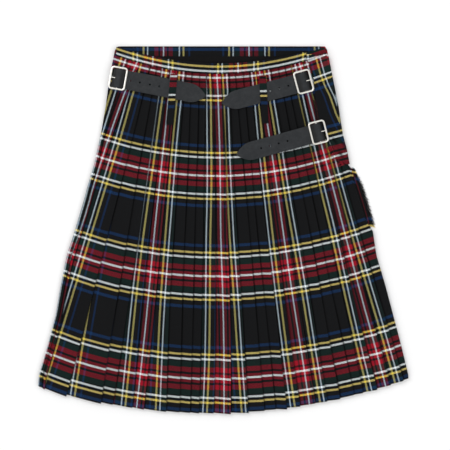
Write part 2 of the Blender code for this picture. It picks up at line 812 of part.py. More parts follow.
def make_fringe(fringe):
    """A narrow strip beside the apron's edge, with strands that stand apart from each other."""
    first, last = fringe.rows
    cells = 2 * fringe.strands + 1
    vertices = []
    faces = []
    for line in range(cells + 1):
        y = first + (last - first) * line / cells
        x, low = fringe_root(fringe, y)
        far = x + fringe.side * STRIP_WIDTH
        vertices += [(x, y, low), (x, y, low + STRAND), (far, y, low + STRAND), (far, y, low)]
    for cell in range(cells):
        a = cell * 4
        b = a + 4
        faces.append([a, a + 1, b + 1, b])
        faces.append([a + 1, a + 2, b + 2, b + 1])
        faces.append([a + 3, a, b, b + 3])
        if cell % 2 == 0:
            faces.append([a + 2, a + 3, b + 3, b + 2])
            continue
        strand = cell // 2
        waves = sum(amount * math.sin(strand * pace) for amount, pace in STRAND_WAVES)
        reach = fringe.reach * (STRAND_SHARE + waves)
        roots = [a + 2, a + 3, b + 3, b + 2]
        corners = [Vector(vertices[index]) for index in roots]
        out = Vector((fringe.side * STRAND_DIRECTION[0], STRAND_DIRECTION[1], 0.0)) * reach
        start = len(vertices)
        centre = sum(corners, Vector()) / 4
        for share, size in STRAND_TAPER:
            for corner in corners:
                point = centre + (corner - centre) * size + out * share
                vertices.append((point.x, point.y, max(point.z, FLOOR_CLEARANCE)))
        rings = [roots, [start + i for i in range(4)], [start + 4 + i for i in range(4)]]
        for near, far_ring in zip(rings, rings[1:]):
            for i in range(4):
                j = (i + 1) % 4
                faces.append([near[i], near[j], far_ring[j], far_ring[i]])
        faces.append(rings[-1])
    faces.append([0, 1, 2, 3])
    end = cells * 4
    faces.append([end + 3, end + 2, end + 1, end])
    add_object(fringe.name, vertices, faces, "tartan")


def build():
    """Makes every piece of the kilt."""
    clear_scene()
    over_apron()
    under_apron()
    front_lining()
    pleated_back()
    waistband_back()
    waistband_apron()
    for loop in LOOPS:
        make_loop(loop)
    for strap in STRAPS:
        make_strap(strap)
        make_buckle(strap)
        make_prong(strap)
    for fringe in FRINGES:
        make_fringe(fringe)


build()
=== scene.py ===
"""The looks of a pleated kilt that lies flat with its back up.

Every cloth piece is a fine shell on the form of its solid, worked out in page millimetres: X across
the kilt, Y up towards the waist, Z up from the surface. Leather and metal pieces are modelled over
their solids.
"""

import json
import logging
import math
from dataclasses import dataclass, field
from enum import Enum
from typing import Callable, NamedTuple, Sequence

import bmesh
import bpy
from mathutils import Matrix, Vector

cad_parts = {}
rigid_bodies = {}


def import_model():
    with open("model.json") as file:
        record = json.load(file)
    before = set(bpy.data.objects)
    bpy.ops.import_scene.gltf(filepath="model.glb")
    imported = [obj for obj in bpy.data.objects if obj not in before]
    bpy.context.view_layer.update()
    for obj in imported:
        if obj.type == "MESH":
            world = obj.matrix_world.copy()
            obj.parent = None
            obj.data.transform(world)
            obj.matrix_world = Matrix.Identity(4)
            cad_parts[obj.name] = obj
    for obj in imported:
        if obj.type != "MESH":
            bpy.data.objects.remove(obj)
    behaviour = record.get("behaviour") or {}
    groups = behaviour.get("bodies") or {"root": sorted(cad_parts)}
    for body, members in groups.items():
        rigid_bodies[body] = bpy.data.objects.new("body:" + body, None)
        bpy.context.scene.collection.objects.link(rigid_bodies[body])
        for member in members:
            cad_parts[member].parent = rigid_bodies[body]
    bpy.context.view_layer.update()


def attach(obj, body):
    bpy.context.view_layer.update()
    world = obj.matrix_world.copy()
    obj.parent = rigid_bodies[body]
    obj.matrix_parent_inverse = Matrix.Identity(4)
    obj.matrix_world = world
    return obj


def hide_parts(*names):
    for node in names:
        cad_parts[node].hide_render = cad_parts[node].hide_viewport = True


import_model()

MM = 0.001
# The point mark for painted shade: it darkens the colour under pleat folds, on the flap's gathered end and on
# straps in their buckles.
PAINTED_SHADE = "painted_shade"
WEAVE_MAP = "cloth"
PAGE_CENTRE = (0.4, -1.9)
BODY = "root"
log = logging.getLogger("kilt")

Pair = tuple[float, float]
Point = tuple[float, float, float]
Weave = tuple[float, float]
Colour = tuple[float, float, float, float]
Socket = bpy.types.NodeSocket
Layer = bmesh.types.BMLayerItem
Ring = list[bmesh.types.BMVert]
Piece = bpy.types.Object


def smooth_step(value: float, low: float, high: float) -> float:
    """A value's share between low and high, with soft ends."""
    share = min(max((value - low) / (high - low), 0.0), 1.0)
    return share * share * (3 - 2 * share)


def spread(start: float, end: float, steps: int) -> list[float]:
    """Even steps from start to end, both included."""
    return [start + (end - start) * step / steps for step in range(steps + 1)]


def on_line(points: Sequence[Pair], place: float) -> float:
    """Read a line of points, carrying its end stretches on.

    Args:
        points: pairs of a place and its value, in rising or falling order of place.
        place: where to read.

    Returns:
        The value at that place.
    """
    ordered = sorted(points)
    for (start, low), (end, high) in zip(ordered, ordered[1:]):
        if place <= end or end == ordered[-1][0]:
            return low + (high - low) * (place - start) / (end - start)
    return ordered[-1][1]


def held_line(points: Sequence[Pair], place: float) -> float:
    """Read a line of points as on_line does, with the end values kept beyond its ends."""
    places = [point[0] for point in points]
    return on_line(points, min(max(place, min(places)), max(places)))


class Outline(NamedTuple):
    """The kilt's sides at one height up the page: the left edge, the pleats' and the apron's right."""

    y: float
    left: float
    pleats: float
    apron: float


class Fold(NamedTuple):
    """A pleat's folded edge at the waist, halfway and at the hem, its drop, and its places on the cloth."""

    waist: float
    middle: float
    hem: float
    drop: float
    cloth_waist: float
    cloth_middle: float
    cloth_hem: float


@dataclass(frozen=True)
class Crease:
    """A soft ridge that runs through all the layers: its middle, direction and sizes."""

    x: float
    y: float
    turn: float
    length: float
    width: float
    height: float

    def rise(self, x: float, y: float) -> float:
        """Find how far the ridge lifts the cloth.

        Args:
            x: how far across the page.
            y: how far up the page.

        Returns:
            The lift there.
        """
        turn = math.radians(self.turn)
        along = (x - self.x) * math.cos(turn) + (y - self.y) * math.sin(turn)
        across = (y - self.y) * math.cos(turn) - (x - self.x) * math.sin(turn)
        bend = across - 0.1 * along * along / self.length
        fade = 1 - smooth_step(abs(along), 0.2 * self.length, 0.5 * self.length)
        return self.height * fade * math.exp(-((bend / self.width) ** 2))


@dataclass(frozen=True)
class KiltForm:
    """The kilt's form on the page, which the solids share."""

    length: float = 610.0
    waist_y: float = 288.0
    front_top: float = 320.6
    front_shorter: float = 4.0
    arc_radius: float = 467.0
    arc_growth: float = 0.86
    arc_waist_extra: float = 90.0
    arc_waist_fade: float = 15.0
    arc_middle: float = -6.5
    arc_drift: float = -0.0233
    cloth: float = 1.0
    apron_cloth: float = 1.2
    gap: float = 0.3
    lining_end: float = 82.0
    lining_taper: float = 125.0
    pleat_slack: float = 0.1
    narrowest_pleat: float = 5.5
    fold_middle: float = 300.0
    cloth_top: float = 50.0
    # How often a place that depends on itself is worked out anew.
    rounds: int = 12
    down_rounds: int = 8
    outline: tuple[Outline, ...] = (
        Outline(320.6, -184.0, 176.0, 179.0),
        Outline(314.0, -189.5, 180.0, 183.0),
        Outline(270.0, -198.5, 187.8, 191.5),
        Outline(218.0, -205.5, 198.0, 202.0),
        Outline(165.0, -214.5, 206.5, 210.5),
        Outline(139.0, -220.4, 213.5, 217.5),
        Outline(112.0, -226.5, 218.5, 222.5),
        Outline(77.0, -237.0, 231.0, 235.0),
        Outline(51.0, -244.0, 239.6, 243.6),
        Outline(12.0, -255.5, 251.5, 254.8),
        Outline(-2.0, -259.5, 262.5, 256.5),
        Outline(-46.0, -274.0, 269.0, 258.0),
        Outline(-98.0, -284.5, 284.5, 265.0),
        Outline(-151.0, -293.5, 298.5, 272.0),
        Outline(-204.0, -307.5, 312.5, 279.0),
        Outline(-256.0, -323.0, 325.0, 286.0),
        Outline(-322.0, -328.0, 328.0, 290.0),
    )
    folds: tuple[Fold, ...] = (
        Fold(-162.5, -249.5, -340.0, 0.0, -24.6, -23.5, -22.8),
        Fold(-139.5, -240.5, -315.0, 2.0, 5.0, 2.4, 11.6),
        Fold(-124.5, -197.0, -275.5, 4.0, 50.2, 60.5, 74.5),
        Fold(-114.0, -165.5, -214.5, 3.0, 79.9, 77.5, 81.0),
        Fold(-106.5, -146.5, -194.0, 1.2, 66.8, 66.8, 66.8),
        Fold(-91.5, -128.5, -159.5, 1.0, 40.2, 44.5, 47.1),
        Fold(-79.0, -107.5, -139.0, 1.4, 10.5, 12.0, 12.3),
        Fold(-64.5, -87.0, -100.5, 1.5, -24.9, -21.0, -17.2),
        Fold(-54.5, -67.5, -77.0, 0.8, -49.2, -49.2, -49.2),
        Fold(-41.5, -50.0, -58.0, 1.0, -65.0, -65.0, -65.0),
        Fold(-30.0, -35.5, -42.0, 1.2, -82.6, -82.6, -82.6),
        Fold(-22.5, -13.5, -17.0, 1.0, 36.2, 43.6, 46.2),
        Fold(-5.0, 8.5, 13.5, 3.0, 6.7, 11.9, 11.4),
        Fold(8.5, 24.5, 45.0, 2.5, -25.1, -22.1, -23.4),
        Fold(19.0, 45.5, 72.5, 1.0, -49.2, -49.2, -49.2),
        Fold(32.5, 60.0, 92.5, 0.6, -65.0, -65.0, -65.0),
        Fold(43.5, 76.0, 112.5, 3.0, -82.6, -82.6, -82.6),
        Fold(55.5, 92.0, 135.0, 1.4, 35.1, 41.0, 43.9),
        Fold(66.5, 113.5, 161.0, 0.5, 5.3, 8.5, 9.7),
        Fold(79.5, 131.0, 183.0, 1.2, -25.1, -23.5, -22.5),
        Fold(92.0, 149.0, 205.0, 2.0, -49.2, -49.2, -49.2),
        Fold(103.5, 165.0, 229.0, 0.5, -65.0, -65.0, -65.0),
        Fold(114.0, 180.0, 245.0, 1.2, -82.6, -82.6, -82.6),
        Fold(124.5, 195.0, 270.0, 2.5, -25.5, -24.4, -18.3),
        Fold(134.0, 213.0, 293.5, 1.5, 4.6, 7.0, 8.8),
        Fold(144.5, 229.2, 316.0, 1.5, -24.6, -22.0, -20.7),
    )
    last_fold: Fold = Fold(0.0, 0.0, 0.0, 0.0, -49.2, -49.2, -49.2)
    # The white middle of the first check below the waist, the first repeat's length and its growth.
    first_band: float = 23.2
    band_step: float = 169.7
    band_growth: float = 1.93
    repeat_down: float = 176.0
    creases: tuple[Crease, ...] = (
        Crease(-196.0, 60.0, 64.0, 170.0, 9.0, 1.5),
        Crease(-120.0, -40.0, 82.0, 210.0, 13.0, 1.3),
        Crease(-232.0, -150.0, 58.0, 150.0, 10.0, 2.0),
        Crease(-60.0, -190.0, 97.0, 180.0, 15.0, 1.4),
        Crease(28.0, -20.0, 88.0, 190.0, 12.0, 1.2),
        Crease(96.0, -150.0, 103.0, 170.0, 11.0, 1.7),
        Crease(152.0, 10.0, 112.0, 150.0, 9.0, 1.5),
        Crease(214.0, -60.0, 118.0, 160.0, 10.0, 1.8),
        Crease(262.0, -190.0, 108.0, 130.0, 9.0, 2.0),
        Crease(-20.0, -268.0, 176.0, 230.0, 14.0, 1.1),
    )

    @property
    def layer(self) -> float:
        """A layer of cloth with the gap above it."""
        return self.cloth + self.gap

    @property
    def under_apron_z(self) -> float:
        """The under apron's lower side."""
        return self.apron_cloth + self.gap

    @property
    def lining_z(self) -> float:
        """The lining's lower side."""
        return self.under_apron_z + self.apron_cloth + self.gap

    @property
    def pleat_stack(self) -> float:
        """The height of the folded pleats."""
        return self.cloth + 3 * self.layer + self.pleat_slack

    def level_y(self, x: float, down: float) -> float:
        """Find a level of the back, which is an arc that bows down the page.

        Args:
            x: how far across the page.
            down: millimetres below the waist edge.

        Returns:
            How far up the page the level lies there.
        """
        extra = self.arc_waist_extra * math.exp(-down / self.arc_waist_fade)
        radius = self.arc_radius + self.arc_growth * down + extra
        middle = self.arc_middle + self.arc_drift * down
        return self.waist_y - down + (x - middle) ** 2 / (2 * radius)

    def edge_x(self, y: float, side: str) -> float:
        """Where an outline's side lies at a height up the page."""
        return held_line([(row.y, getattr(row, side)) for row in self.outline], y)

    def side_x(self, down: float, side: str) -> float:
        """Find where a level of the back meets an outline's side.

        Args:
            down: millimetres below the waist edge.
            side: the outline's column.

        Returns:
            How far across the page they meet.
        """
        x = 0.0
        for _ in range(self.rounds):
            x = self.edge_x(self.level_y(x, down), side)
        return x

    def front_ends(self, share: float, side: str, inset: float = 0.0) -> Pair:
        """Find both ends of a row of the front.

        Args:
            share: the row's share of the front's length.
            side: the outline's column for the right end.
            inset: how far inside the outline both ends lie.

        Returns:
            How far across the page the left and the right end lie.
        """
        left = right = 0.0
        for _ in range(self.rounds):
            left = self.edge_x(self.front_y(left, share), "left") + inset
            right = self.edge_x(self.front_y(right, share), side) - inset
        return left, right

    def down_at(self, x: float, y: float) -> float:
        """Find the level of the back at a place of the page.

        Args:
            x: how far across the page.
            y: how far up the page.

        Returns:
            Millimetres below the waist edge.
        """
        down = self.waist_y - y
        for _ in range(self.down_rounds):
            down += self.level_y(x, down) - y
        return down

    def pleat_floor(self, down: float) -> float:
        """The pleats' underside: over the lining at the waist, lower further down."""
        lift = 1 - smooth_step(down, self.lining_end, self.lining_taper)
        return self.lining_z + lift * self.layer

    def pleat_top(self, x: float, y: float) -> float:
        """The height at which what lies on the pleats rests."""
        return self.pleat_floor(self.down_at(x, y)) + self.pleat_stack + self.gap

    def fold_x(self, fold: Fold, down: float) -> float:
        """Find a folded edge at a level, on the parabola through its three places.

        Args:
            fold: the pleat's fold.
            down: millimetres below the waist edge.

        Returns:
            How far across the page it lies.
        """
        middle, end = self.fold_middle, self.length
        share_waist = (down - middle) * (down - end) / (middle * end)
        share_middle = down * (down - end) / (middle * (middle - end))
        share_hem = down * (down - middle) / (end * (end - middle))
        return fold.waist * share_waist + fold.middle * share_middle + fold.hem * share_hem

    def fold_cloth(self, fold: Fold, down: float) -> float:
        """The place across the cloth of a folded edge at a level."""
        places = (fold.cloth_waist, fold.cloth_middle, fold.cloth_hem)
        return held_line(list(zip((self.cloth_top, self.fold_middle, self.length), places)), down)

    def fold_places(self, down: float) -> list[float]:
        """Find the left edge, each folded edge and the right edge, kept in order.

        Args:
            down: millimetres below the waist edge.

        Returns:
            How far across the page each lies at that level.
        """
        places = [self.side_x(down, "left") + self.cloth / 2]
        for fold in self.folds:
            places.append(max(self.fold_x(fold, down), places[-1] + self.narrowest_pleat))
        places.append(self.side_x(down, "pleats") - self.cloth / 2)
        for index in range(len(places) - 2, 0, -1):
            places[index] = min(places[index], places[index + 1] - self.narrowest_pleat)
        return places

    def front_y(self, x: float, share: float) -> float:
        """The front layers' page height, from the straight waist edge to the hem's arc."""
        hem = self.level_y(x, self.length - self.front_shorter)
        return self.front_top * (1 - share) + hem * share

    def cloth_down(self, down: float) -> float:
        """The place along the cloth of a level of the back, from its first check's white middle."""
        root = self.band_step**2 + 4 * self.band_growth * (down - self.first_band)
        return self.repeat_down * (math.sqrt(root) - self.band_step) / (2 * self.band_growth)

    def rise(self, x: float, y: float) -> float:
        """How far the creases lift every layer at a place of the page."""
        return sum(crease.rise(x, y) for crease in self.creases)


def to_world(point: Point) -> Vector:
    """A page point in the frame's metres."""
    return Vector((point[0] - PAGE_CENTRE[0], point[1] - PAGE_CENTRE[1], point[2])) * MM


class NodeBench:
    """Lays out and links the nodes of one material."""

    def __init__(self, name: str) -> None:
        """Start a material with a shader.

        Args:
            name: the material's name.
        """
        self.material = bpy.data.materials.new(name)
        self.material.use_nodes = True
        self.tree = self.material.node_tree
        self.shader = self.tree.nodes["Principled BSDF"]

    def add(self, kind: str, **settings: object) -> bpy.types.Node:
        """Add a node.

        Args:
            kind: the node's type.
            settings: its properties.

        Returns:
            The node.
        """
        node = self.tree.nodes.new(kind)
        for key, value in settings.items():
            setattr(node, key, value)
        return node

    def feed(self, socket: Socket, value: "Socket | float | Sequence[float]") -> None:
        """Link a socket, or set its constant.

        Args:
            socket: the socket that takes the value.
            value: another node's socket, or the constant.
        """
        if isinstance(value, bpy.types.NodeSocket):
            self.tree.links.new(value, socket)
        else:
            socket.default_value = value

    def fed(self, node: bpy.types.Node, values: dict[object, object]) -> bpy.types.Node:
        """Feed several of a node's inputs.

        Args:
            node: the node.
            values: the value for each input's name or number.

        Returns:
            The same node.
        """
        for key, value in values.items():
            self.feed(node.inputs[key], value)
        return node

    def calc(self, operation: str, *values: "Socket | float") -> Socket:
        """Add a Math node on the values and return its result's socket."""
        node = self.add("ShaderNodeMath", operation=operation)
        return self.fed(node, dict(enumerate(values))).outputs[0]

    def blend(self, share: "Socket | float", low: object, high: object, kind: str = "MIX") -> Socket:
        """Mix two colours by the share of the second and return the mixed colour's socket."""
        node = self.add("ShaderNodeMix", data_type="RGBA", blend_type=kind)
        return self.fed(node, {0: share, 6: low, 7: high}).outputs[2]

    def noise(self, vector: Socket, scale: float, detail: float = 2.0, roughness: float = 0.5) -> Socket:
        """Add a noise texture and return its value."""
        values = {"Vector": vector, "Scale": scale, "Detail": detail, "Roughness": roughness}
        return self.fed(self.add("ShaderNodeTexNoise"), values).outputs["Fac"]

    def objects(self) -> Socket:
        """The place on the object, in metres."""
        return self.add("ShaderNodeTexCoord").outputs["Object"]

    def span(self, value: Socket, low: float, high: float, start: float, end: float) -> Socket:
        """Map a value from low to high onto start to end, clamped."""
        node = self.add("ShaderNodeMapRange")
        return self.fed(node, dict(enumerate((value, low, high, start, end)))).outputs[0]

    def bump(self, height: Socket, strength: float, distance: float) -> None:
        """Bend the shader's normal by a height."""
        values = {"Strength": strength, "Distance": distance, "Height": height}
        node = self.fed(self.add("ShaderNodeBump"), values)
        self.feed(self.shader.inputs["Normal"], node.outputs[0])

    def dim(self, colour: Socket, light: Socket) -> Socket:
        """Multiply a colour by a value and return its socket."""
        grey = self.fed(self.add("ShaderNodeCombineColor"), {index: light for index in range(3)})
        return self.blend(1.0, colour, grey.outputs[0], "MULTIPLY")

    def painted_shade(self, strength: float) -> Socket:
        """What painted shade leaves of a colour's light, where the piece's points are marked for it."""
        mark = self.add("ShaderNodeAttribute", attribute_name=PAINTED_SHADE)
        return self.calc("SUBTRACT", 1.0, self.calc("MULTIPLY", mark.outputs["Fac"], strength))

    def finish(self, colour: Socket, roughness: "Socket | float", **constants: float) -> bpy.types.Material:
        """Dress the shader.

        Args:
            colour: the base colour.
            roughness: its roughness.
            constants: constant sockets by name, with underscores for spaces.

        Returns:
            The material.
        """
        self.fed(self.shader, {"Base Color": colour, "Roughness": roughness})
        for key, value in constants.items():
            self.shader.inputs[key.replace("_", " ")].default_value = value
        return self.material


class Yarn(Enum):
    """The wool's yarn colours in linear light: a darker copy between dark yarns, which paints their shade on
    it, and one between bright yarns.
    """

    BLACK = ((0.0078, 0.0078, 0.0083, 1.0), (0.0078, 0.0078, 0.0083, 1.0))
    GREEN = ((0.0070, 0.0230, 0.0190, 1.0), (0.0080, 0.0260, 0.0215, 1.0))
    RED = ((0.225, 0.0110, 0.0210, 1.0), (0.370, 0.0080, 0.0200, 1.0))
    WHITE = ((0.88, 0.95, 0.96, 1.0), (0.94, 0.95, 0.95, 1.0))
    YELLOW = ((0.780, 0.620, 0.190, 1.0), (0.920, 0.680, 0.070, 1.0))
    BLUE = ((0.0090, 0.036, 0.110, 1.0), (0.0100, 0.040, 0.120, 1.0))


class Stripe(NamedTuple):
    """A stripe of the check: its yarn, and its widths down and across the cloth in the downward scale."""

    yarn: Yarn
    down: float
    across: float


@dataclass(frozen=True)
class TartanChart:
    """Half of the check, from the white middle out to the middle of the black ground."""

    stripes: tuple[Stripe, ...] = (
        Stripe(Yarn.WHITE, 1.6, 1.3),
        Stripe(Yarn.RED, 5.2, 5.5),
        Stripe(Yarn.BLACK, 3.7, 3.7),
        Stripe(Yarn.RED, 8.1, 8.1),
        Stripe(Yarn.GREEN, 10.0, 10.0),
        Stripe(Yarn.BLACK, 2.1, 2.45),
        Stripe(Yarn.WHITE, 3.5, 2.8),
        Stripe(Yarn.BLACK, 4.8, 5.0),
        Stripe(Yarn.YELLOW, 3.6, 3.9),
        Stripe(Yarn.BLACK, 7.7, 8.15),
        Stripe(Yarn.BLUE, 5.3, 4.1),
        Stripe(Yarn.BLACK, 32.4, 33.0),
    )
    across_share: float = 0.853

    @property
    def half(self) -> float:
        """The width of half a repeat down the cloth, which is the stripes' sum either way."""
        return sum(stripe.down for stripe in self.stripes)

    def ramp(self, bench: NodeBench, place: Socket, way: str, bright: bool) -> Socket:
        """Chart the stripes on a material.

        Args:
            bench: the material's bench.
            place: millimetres along the cloth, in the downward scale.
            way: "down" or "across" the cloth.
            bright: whether the colours between bright yarns are meant.

        Returns:
            The yarn's colour there.
        """
        node = bench.add("ShaderNodeValToRGB")
        bench.feed(node.inputs[0], bench.calc("DIVIDE", bench.calc("PINGPONG", place, self.half), self.half))
        chart = node.color_ramp
        chart.interpolation = "CONSTANT"
        start = 0.0
        for stripe in self.stripes:
            stop = chart.elements.new(start / self.half) if start else chart.elements[0]
            stop.color = stripe.yarn.value[bright]
            start += getattr(stripe, way)
        chart.elements.remove(chart.elements[-1])
        return node.outputs[0]


@dataclass(frozen=True)
class TartanFinish:
    """Worsted twill in the charted check: two threads over, two under, with a soft nap."""

    name: str = "tartan_twill"
    chart: TartanChart = TartanChart()
    thread: float = 0.62
    waver: float = 0.5
    # How much painted shade on a thread's round edges, the wool's fibres, its patches and the painted shade
    # where points are marked change its brightness.
    thread_light: Pair = (0.30, 0.84)
    fibre_light: Pair = (0.84, 1.14)
    patch_light: Pair = (0.93, 1.06)
    painted_shade_strength: float = 0.92
    # The warp lies deeper than the weft: painted shade darkens it, and it is tinted bluer.
    warp_shade: Colour = (0.60, 0.67, 0.73, 1.0)
    loose: bool = False

    def make(self) -> bpy.types.Material:
        """Make the material.

        Returns:
            The material.
        """
        bench = NodeBench(self.name)
        split = bench.add("ShaderNodeSeparateXYZ")
        bench.feed(split.inputs[0], bench.add("ShaderNodeUVMap", uv_map=WEAVE_MAP).outputs[0])
        drift = bench.calc("SUBTRACT", bench.noise(bench.objects(), 60.0), 0.5)
        drift = bench.calc("MULTIPLY", drift, self.waver)
        across, down = (bench.calc("MULTIPLY_ADD", split.outputs[way], 1 / MM, drift) for way in (0, 1))
        counts = [bench.calc("DIVIDE", place, self.thread) for place in (across, down)]
        steps = bench.calc("ADD", *(bench.calc("FLOOR", count) for count in counts))
        order = bench.calc("FLOORED_MODULO", steps, 4.0)
        above = 0.0 if self.loose else bench.calc("LESS_THAN", order, 1.5)
        warp, weft = self.yarns(bench, bench.calc("DIVIDE", across, self.chart.across_share), down)
        rounds = [bench.calc("MULTIPLY", self.roundness(bench, count), 0.5) for count in counts]
        height = bench.calc("ADD", *rounds)
        fibre = bench.noise(bench.objects(), 900.0, 3.0, 0.6)
        patches = bench.noise(bench.objects(), 9.0)
        # Painted shade on each thread, darker towards its round edges; the same height also bends the normal.
        light = bench.calc("MULTIPLY_ADD", height, *self.thread_light)
        light = bench.calc("MULTIPLY", light, bench.span(fibre, 0.2, 0.8, *self.fibre_light))
        light = bench.calc("MULTIPLY", light, bench.span(patches, 0.3, 0.7, *self.patch_light))
        # Painted shade where the piece's points are marked.
        light = bench.calc("MULTIPLY", light, bench.painted_shade(self.painted_shade_strength))
        bench.bump(bench.calc("ADD", height, bench.calc("MULTIPLY", fibre, 0.5)), 0.5, 0.0004)
        return bench.finish(
            bench.dim(bench.blend(above, weft, warp), light),
            bench.span(fibre, 0.2, 0.8, 0.78, 0.95),
            Specular_IOR_Level=0.08,
            Sheen_Weight=0.02,
            Sheen_Roughness=0.45,
        )

    def yarns(self, bench: NodeBench, across: Socket, down: Socket) -> tuple[Socket, Socket]:
        """Chart the warp's and the weft's colours.

        Args:
            bench: the material's bench.
            across: the place across the cloth, in the downward scale.
            down: the place down the cloth.

        Returns:
            The warp's and the weft's colour.
        """
        warp = self.chart.ramp(bench, across, "across", False)
        weft = self.chart.ramp(bench, down, "down", False)
        if self.loose:
            return warp, weft
        bright_warp = self.chart.ramp(bench, across, "across", True)
        bright_weft = self.chart.ramp(bench, down, "down", True)
        # Painted shade: beside a dark yarn, each yarn takes its darker copy.
        warp_light, weft_light = self.brightness(bench, warp), self.brightness(bench, weft)
        warp = bench.blend(weft_light, warp, bright_warp)
        weft = bench.blend(warp_light, weft, bright_weft)
        # Painted shade on the warp, with its blue tint.
        return bench.blend(1.0, warp, self.warp_shade, "MULTIPLY"), weft

    def brightness(self, bench: NodeBench, yarn: Socket) -> Socket:
        """How bright a yarn is, from 0 for the dark ones to 1."""
        split = bench.fed(bench.add("ShaderNodeSeparateColor"), {0: yarn})
        return bench.span(split.outputs[0], 0.05, 0.2, 0.0, 1.0)

    def roundness(self, bench: NodeBench, count: Socket) -> Socket:
        """The height of a round thread, from its middle to its edges, at a count of threads."""
        edge = bench.calc("SUBTRACT", bench.calc("FRACT", count), 0.5)
        return bench.calc("SUBTRACT", 1.0, bench.calc("MULTIPLY", bench.calc("ABSOLUTE", edge), 1.6))


@dataclass(frozen=True)
class LiningFinish:
    """Plain black cotton with a fine weave."""

    name: str = "black_cotton"
    colour: Colour = (0.0040, 0.0038, 0.0040, 1.0)
    worn: Colour = (0.0075, 0.0070, 0.0074, 1.0)

    def make(self) -> bpy.types.Material:
        """Make the material.

        Returns:
            The material.
        """
        bench = NodeBench(self.name)
        place = bench.objects()
        threads = bench.add("ShaderNodeTexWave", wave_type="BANDS", bands_direction="DIAGONAL")
        bench.fed(threads, {"Vector": place, "Scale": 420.0})
        fibre = bench.noise(place, 700.0, 3.0)
        bench.bump(bench.calc("ADD", threads.outputs["Fac"], fibre), 0.35, 0.0003)
        colour = bench.blend(bench.span(fibre, 0.3, 0.7, 0.0, 1.0), self.colour, self.worn)
        return bench.finish(colour, bench.span(fibre, 0.2, 0.8, 0.75, 0.9), Specular_IOR_Level=0.10)


@dataclass(frozen=True)
class LeatherFinish:
    """Dark grey-black leather with a fine grain, paler where it is rubbed, with painted shade where its points
    are marked.
    """

    name: str = "black_leather"
    colour: Colour = (0.0118, 0.0138, 0.0162, 1.0)
    rubbed: Colour = (0.0235, 0.0258, 0.0288, 1.0)
    painted_shade_strength: float = 0.85

    def make(self) -> bpy.types.Material:
        """Make the material.

        Returns:
            The material.
        """
        bench = NodeBench(self.name)
        place = bench.objects()
        cells = bench.add("ShaderNodeTexVoronoi", feature="DISTANCE_TO_EDGE")
        bench.fed(cells, {"Vector": place, "Scale": 1300.0})
        pores = bench.noise(place, 1900.0)
        mottle = bench.noise(place, 130.0, 4.0, 0.65)
        edges = bench.add("ShaderNodeNewGeometry").outputs["Pointiness"]
        worn = bench.span(mottle, 0.42, 0.75, 0.0, 0.75)
        rub = bench.calc("ADD", worn, bench.span(edges, 0.52, 0.6, 0.0, 0.4))
        grain = bench.calc("ADD", bench.span(cells.outputs["Distance"], 0.0, 0.12, 0.0, 1.0), pores)
        bench.bump(grain, 0.3, 0.00015)
        # Painted shade dims the colour where the strap's points are marked.
        return bench.finish(
            bench.dim(bench.blend(rub, self.colour, self.rubbed), bench.painted_shade(self.painted_shade_strength)),
            bench.span(mottle, 0.3, 0.7, 0.60, 0.46),
            Specular_IOR_Level=0.26,
            Coat_Weight=0.04,
            Coat_Roughness=0.35,
        )


@dataclass(frozen=True)
class NickelFinish:
    """Polished nickel plate with fine scratches and slightly warm."""

    name: str = "nickel_plate"
    colour: Colour = (0.89, 0.87, 0.81, 1.0)
    dull: Colour = (0.60, 0.57, 0.50, 1.0)

    def make(self) -> bpy.types.Material:
        """Make the material.

        Returns:
            The material.
        """
        bench = NodeBench(self.name)
        tarnish = bench.noise(bench.objects(), 240.0, 4.0, 0.6)
        bench.bump(bench.noise(bench.objects(), 2600.0), 0.08, 0.0001)
        colour = bench.blend(bench.span(tarnish, 0.5, 0.8, 0.0, 0.8), self.colour, self.dull)
        return bench.finish(colour, bench.span(tarnish, 0.3, 0.8, 0.16, 0.36), Metallic=1.0)


@dataclass(frozen=True)
class FloorFinish:
    """A plain pale surface."""

    name: str = "pale_floor"
    colour: Colour = (0.96, 0.96, 0.96, 1.0)
    cloudy: Colour = (0.95, 0.95, 0.952, 1.0)

    def make(self) -> bpy.types.Material:
        """Make the material.

        Returns:
            The material.
        """
        bench = NodeBench(self.name)
        cloud = bench.span(bench.noise(bench.objects(), 3.0), 0.3, 0.7, 0.0, 1.0)
        return bench.finish(bench.blend(cloud, self.colour, self.cloudy), 0.9, Specular_IOR_Level=0.1)


@dataclass
class Wardrobe:
    """Every finish of the kilt, made once."""

    tartan: bpy.types.Material = field(default_factory=lambda: TartanFinish().make())
    yarn: bpy.types.Material = field(default_factory=lambda: TartanFinish(name="loose_yarn", loose=True).make())
    lining: bpy.types.Material = field(default_factory=lambda: LiningFinish().make())
    leather: bpy.types.Material = field(default_factory=lambda: LeatherFinish().make())
    nickel: bpy.types.Material = field(default_factory=lambda: NickelFinish().make())


class Slot(Enum):
    """The record's material slots."""

    TARTAN = "tartan"
    LINING = "lining"
    LEATHER = "leather"
    NICKEL = "nickel"


def deselect() -> None:
    """Leave nothing selected."""
    for obj in bpy.context.selected_objects:
        obj.select_set(False)


def pick(obj: Piece) -> None:
    """Make one object the selected and active one."""
    deselect()
    obj.select_set(True)
    bpy.context.view_layer.objects.active = obj


def apply_all(obj: Piece) -> None:
    """Apply an object's modifiers.

    Args:
        obj: the object.
    """
    pick(obj)
    for modifier in list(obj.modifiers):
        bpy.ops.object.modifier_apply(modifier=modifier.name)


def make_primitive(add: Callable[..., object], scale: Point = (1.0, 1.0, 1.0), **settings: object) -> Piece:
    """Add one of Blender's primitives by itself, with its place and size fixed in its mesh.

    Args:
        add: the operator that adds it.
        scale: its size along each axis.
        settings: the operator's settings.

    Returns:
        The object.
    """
    deselect()
    add(**settings)
    obj = bpy.context.object
    obj.scale = scale
    bpy.ops.object.transform_apply(location=True, rotation=True, scale=True)
    return obj


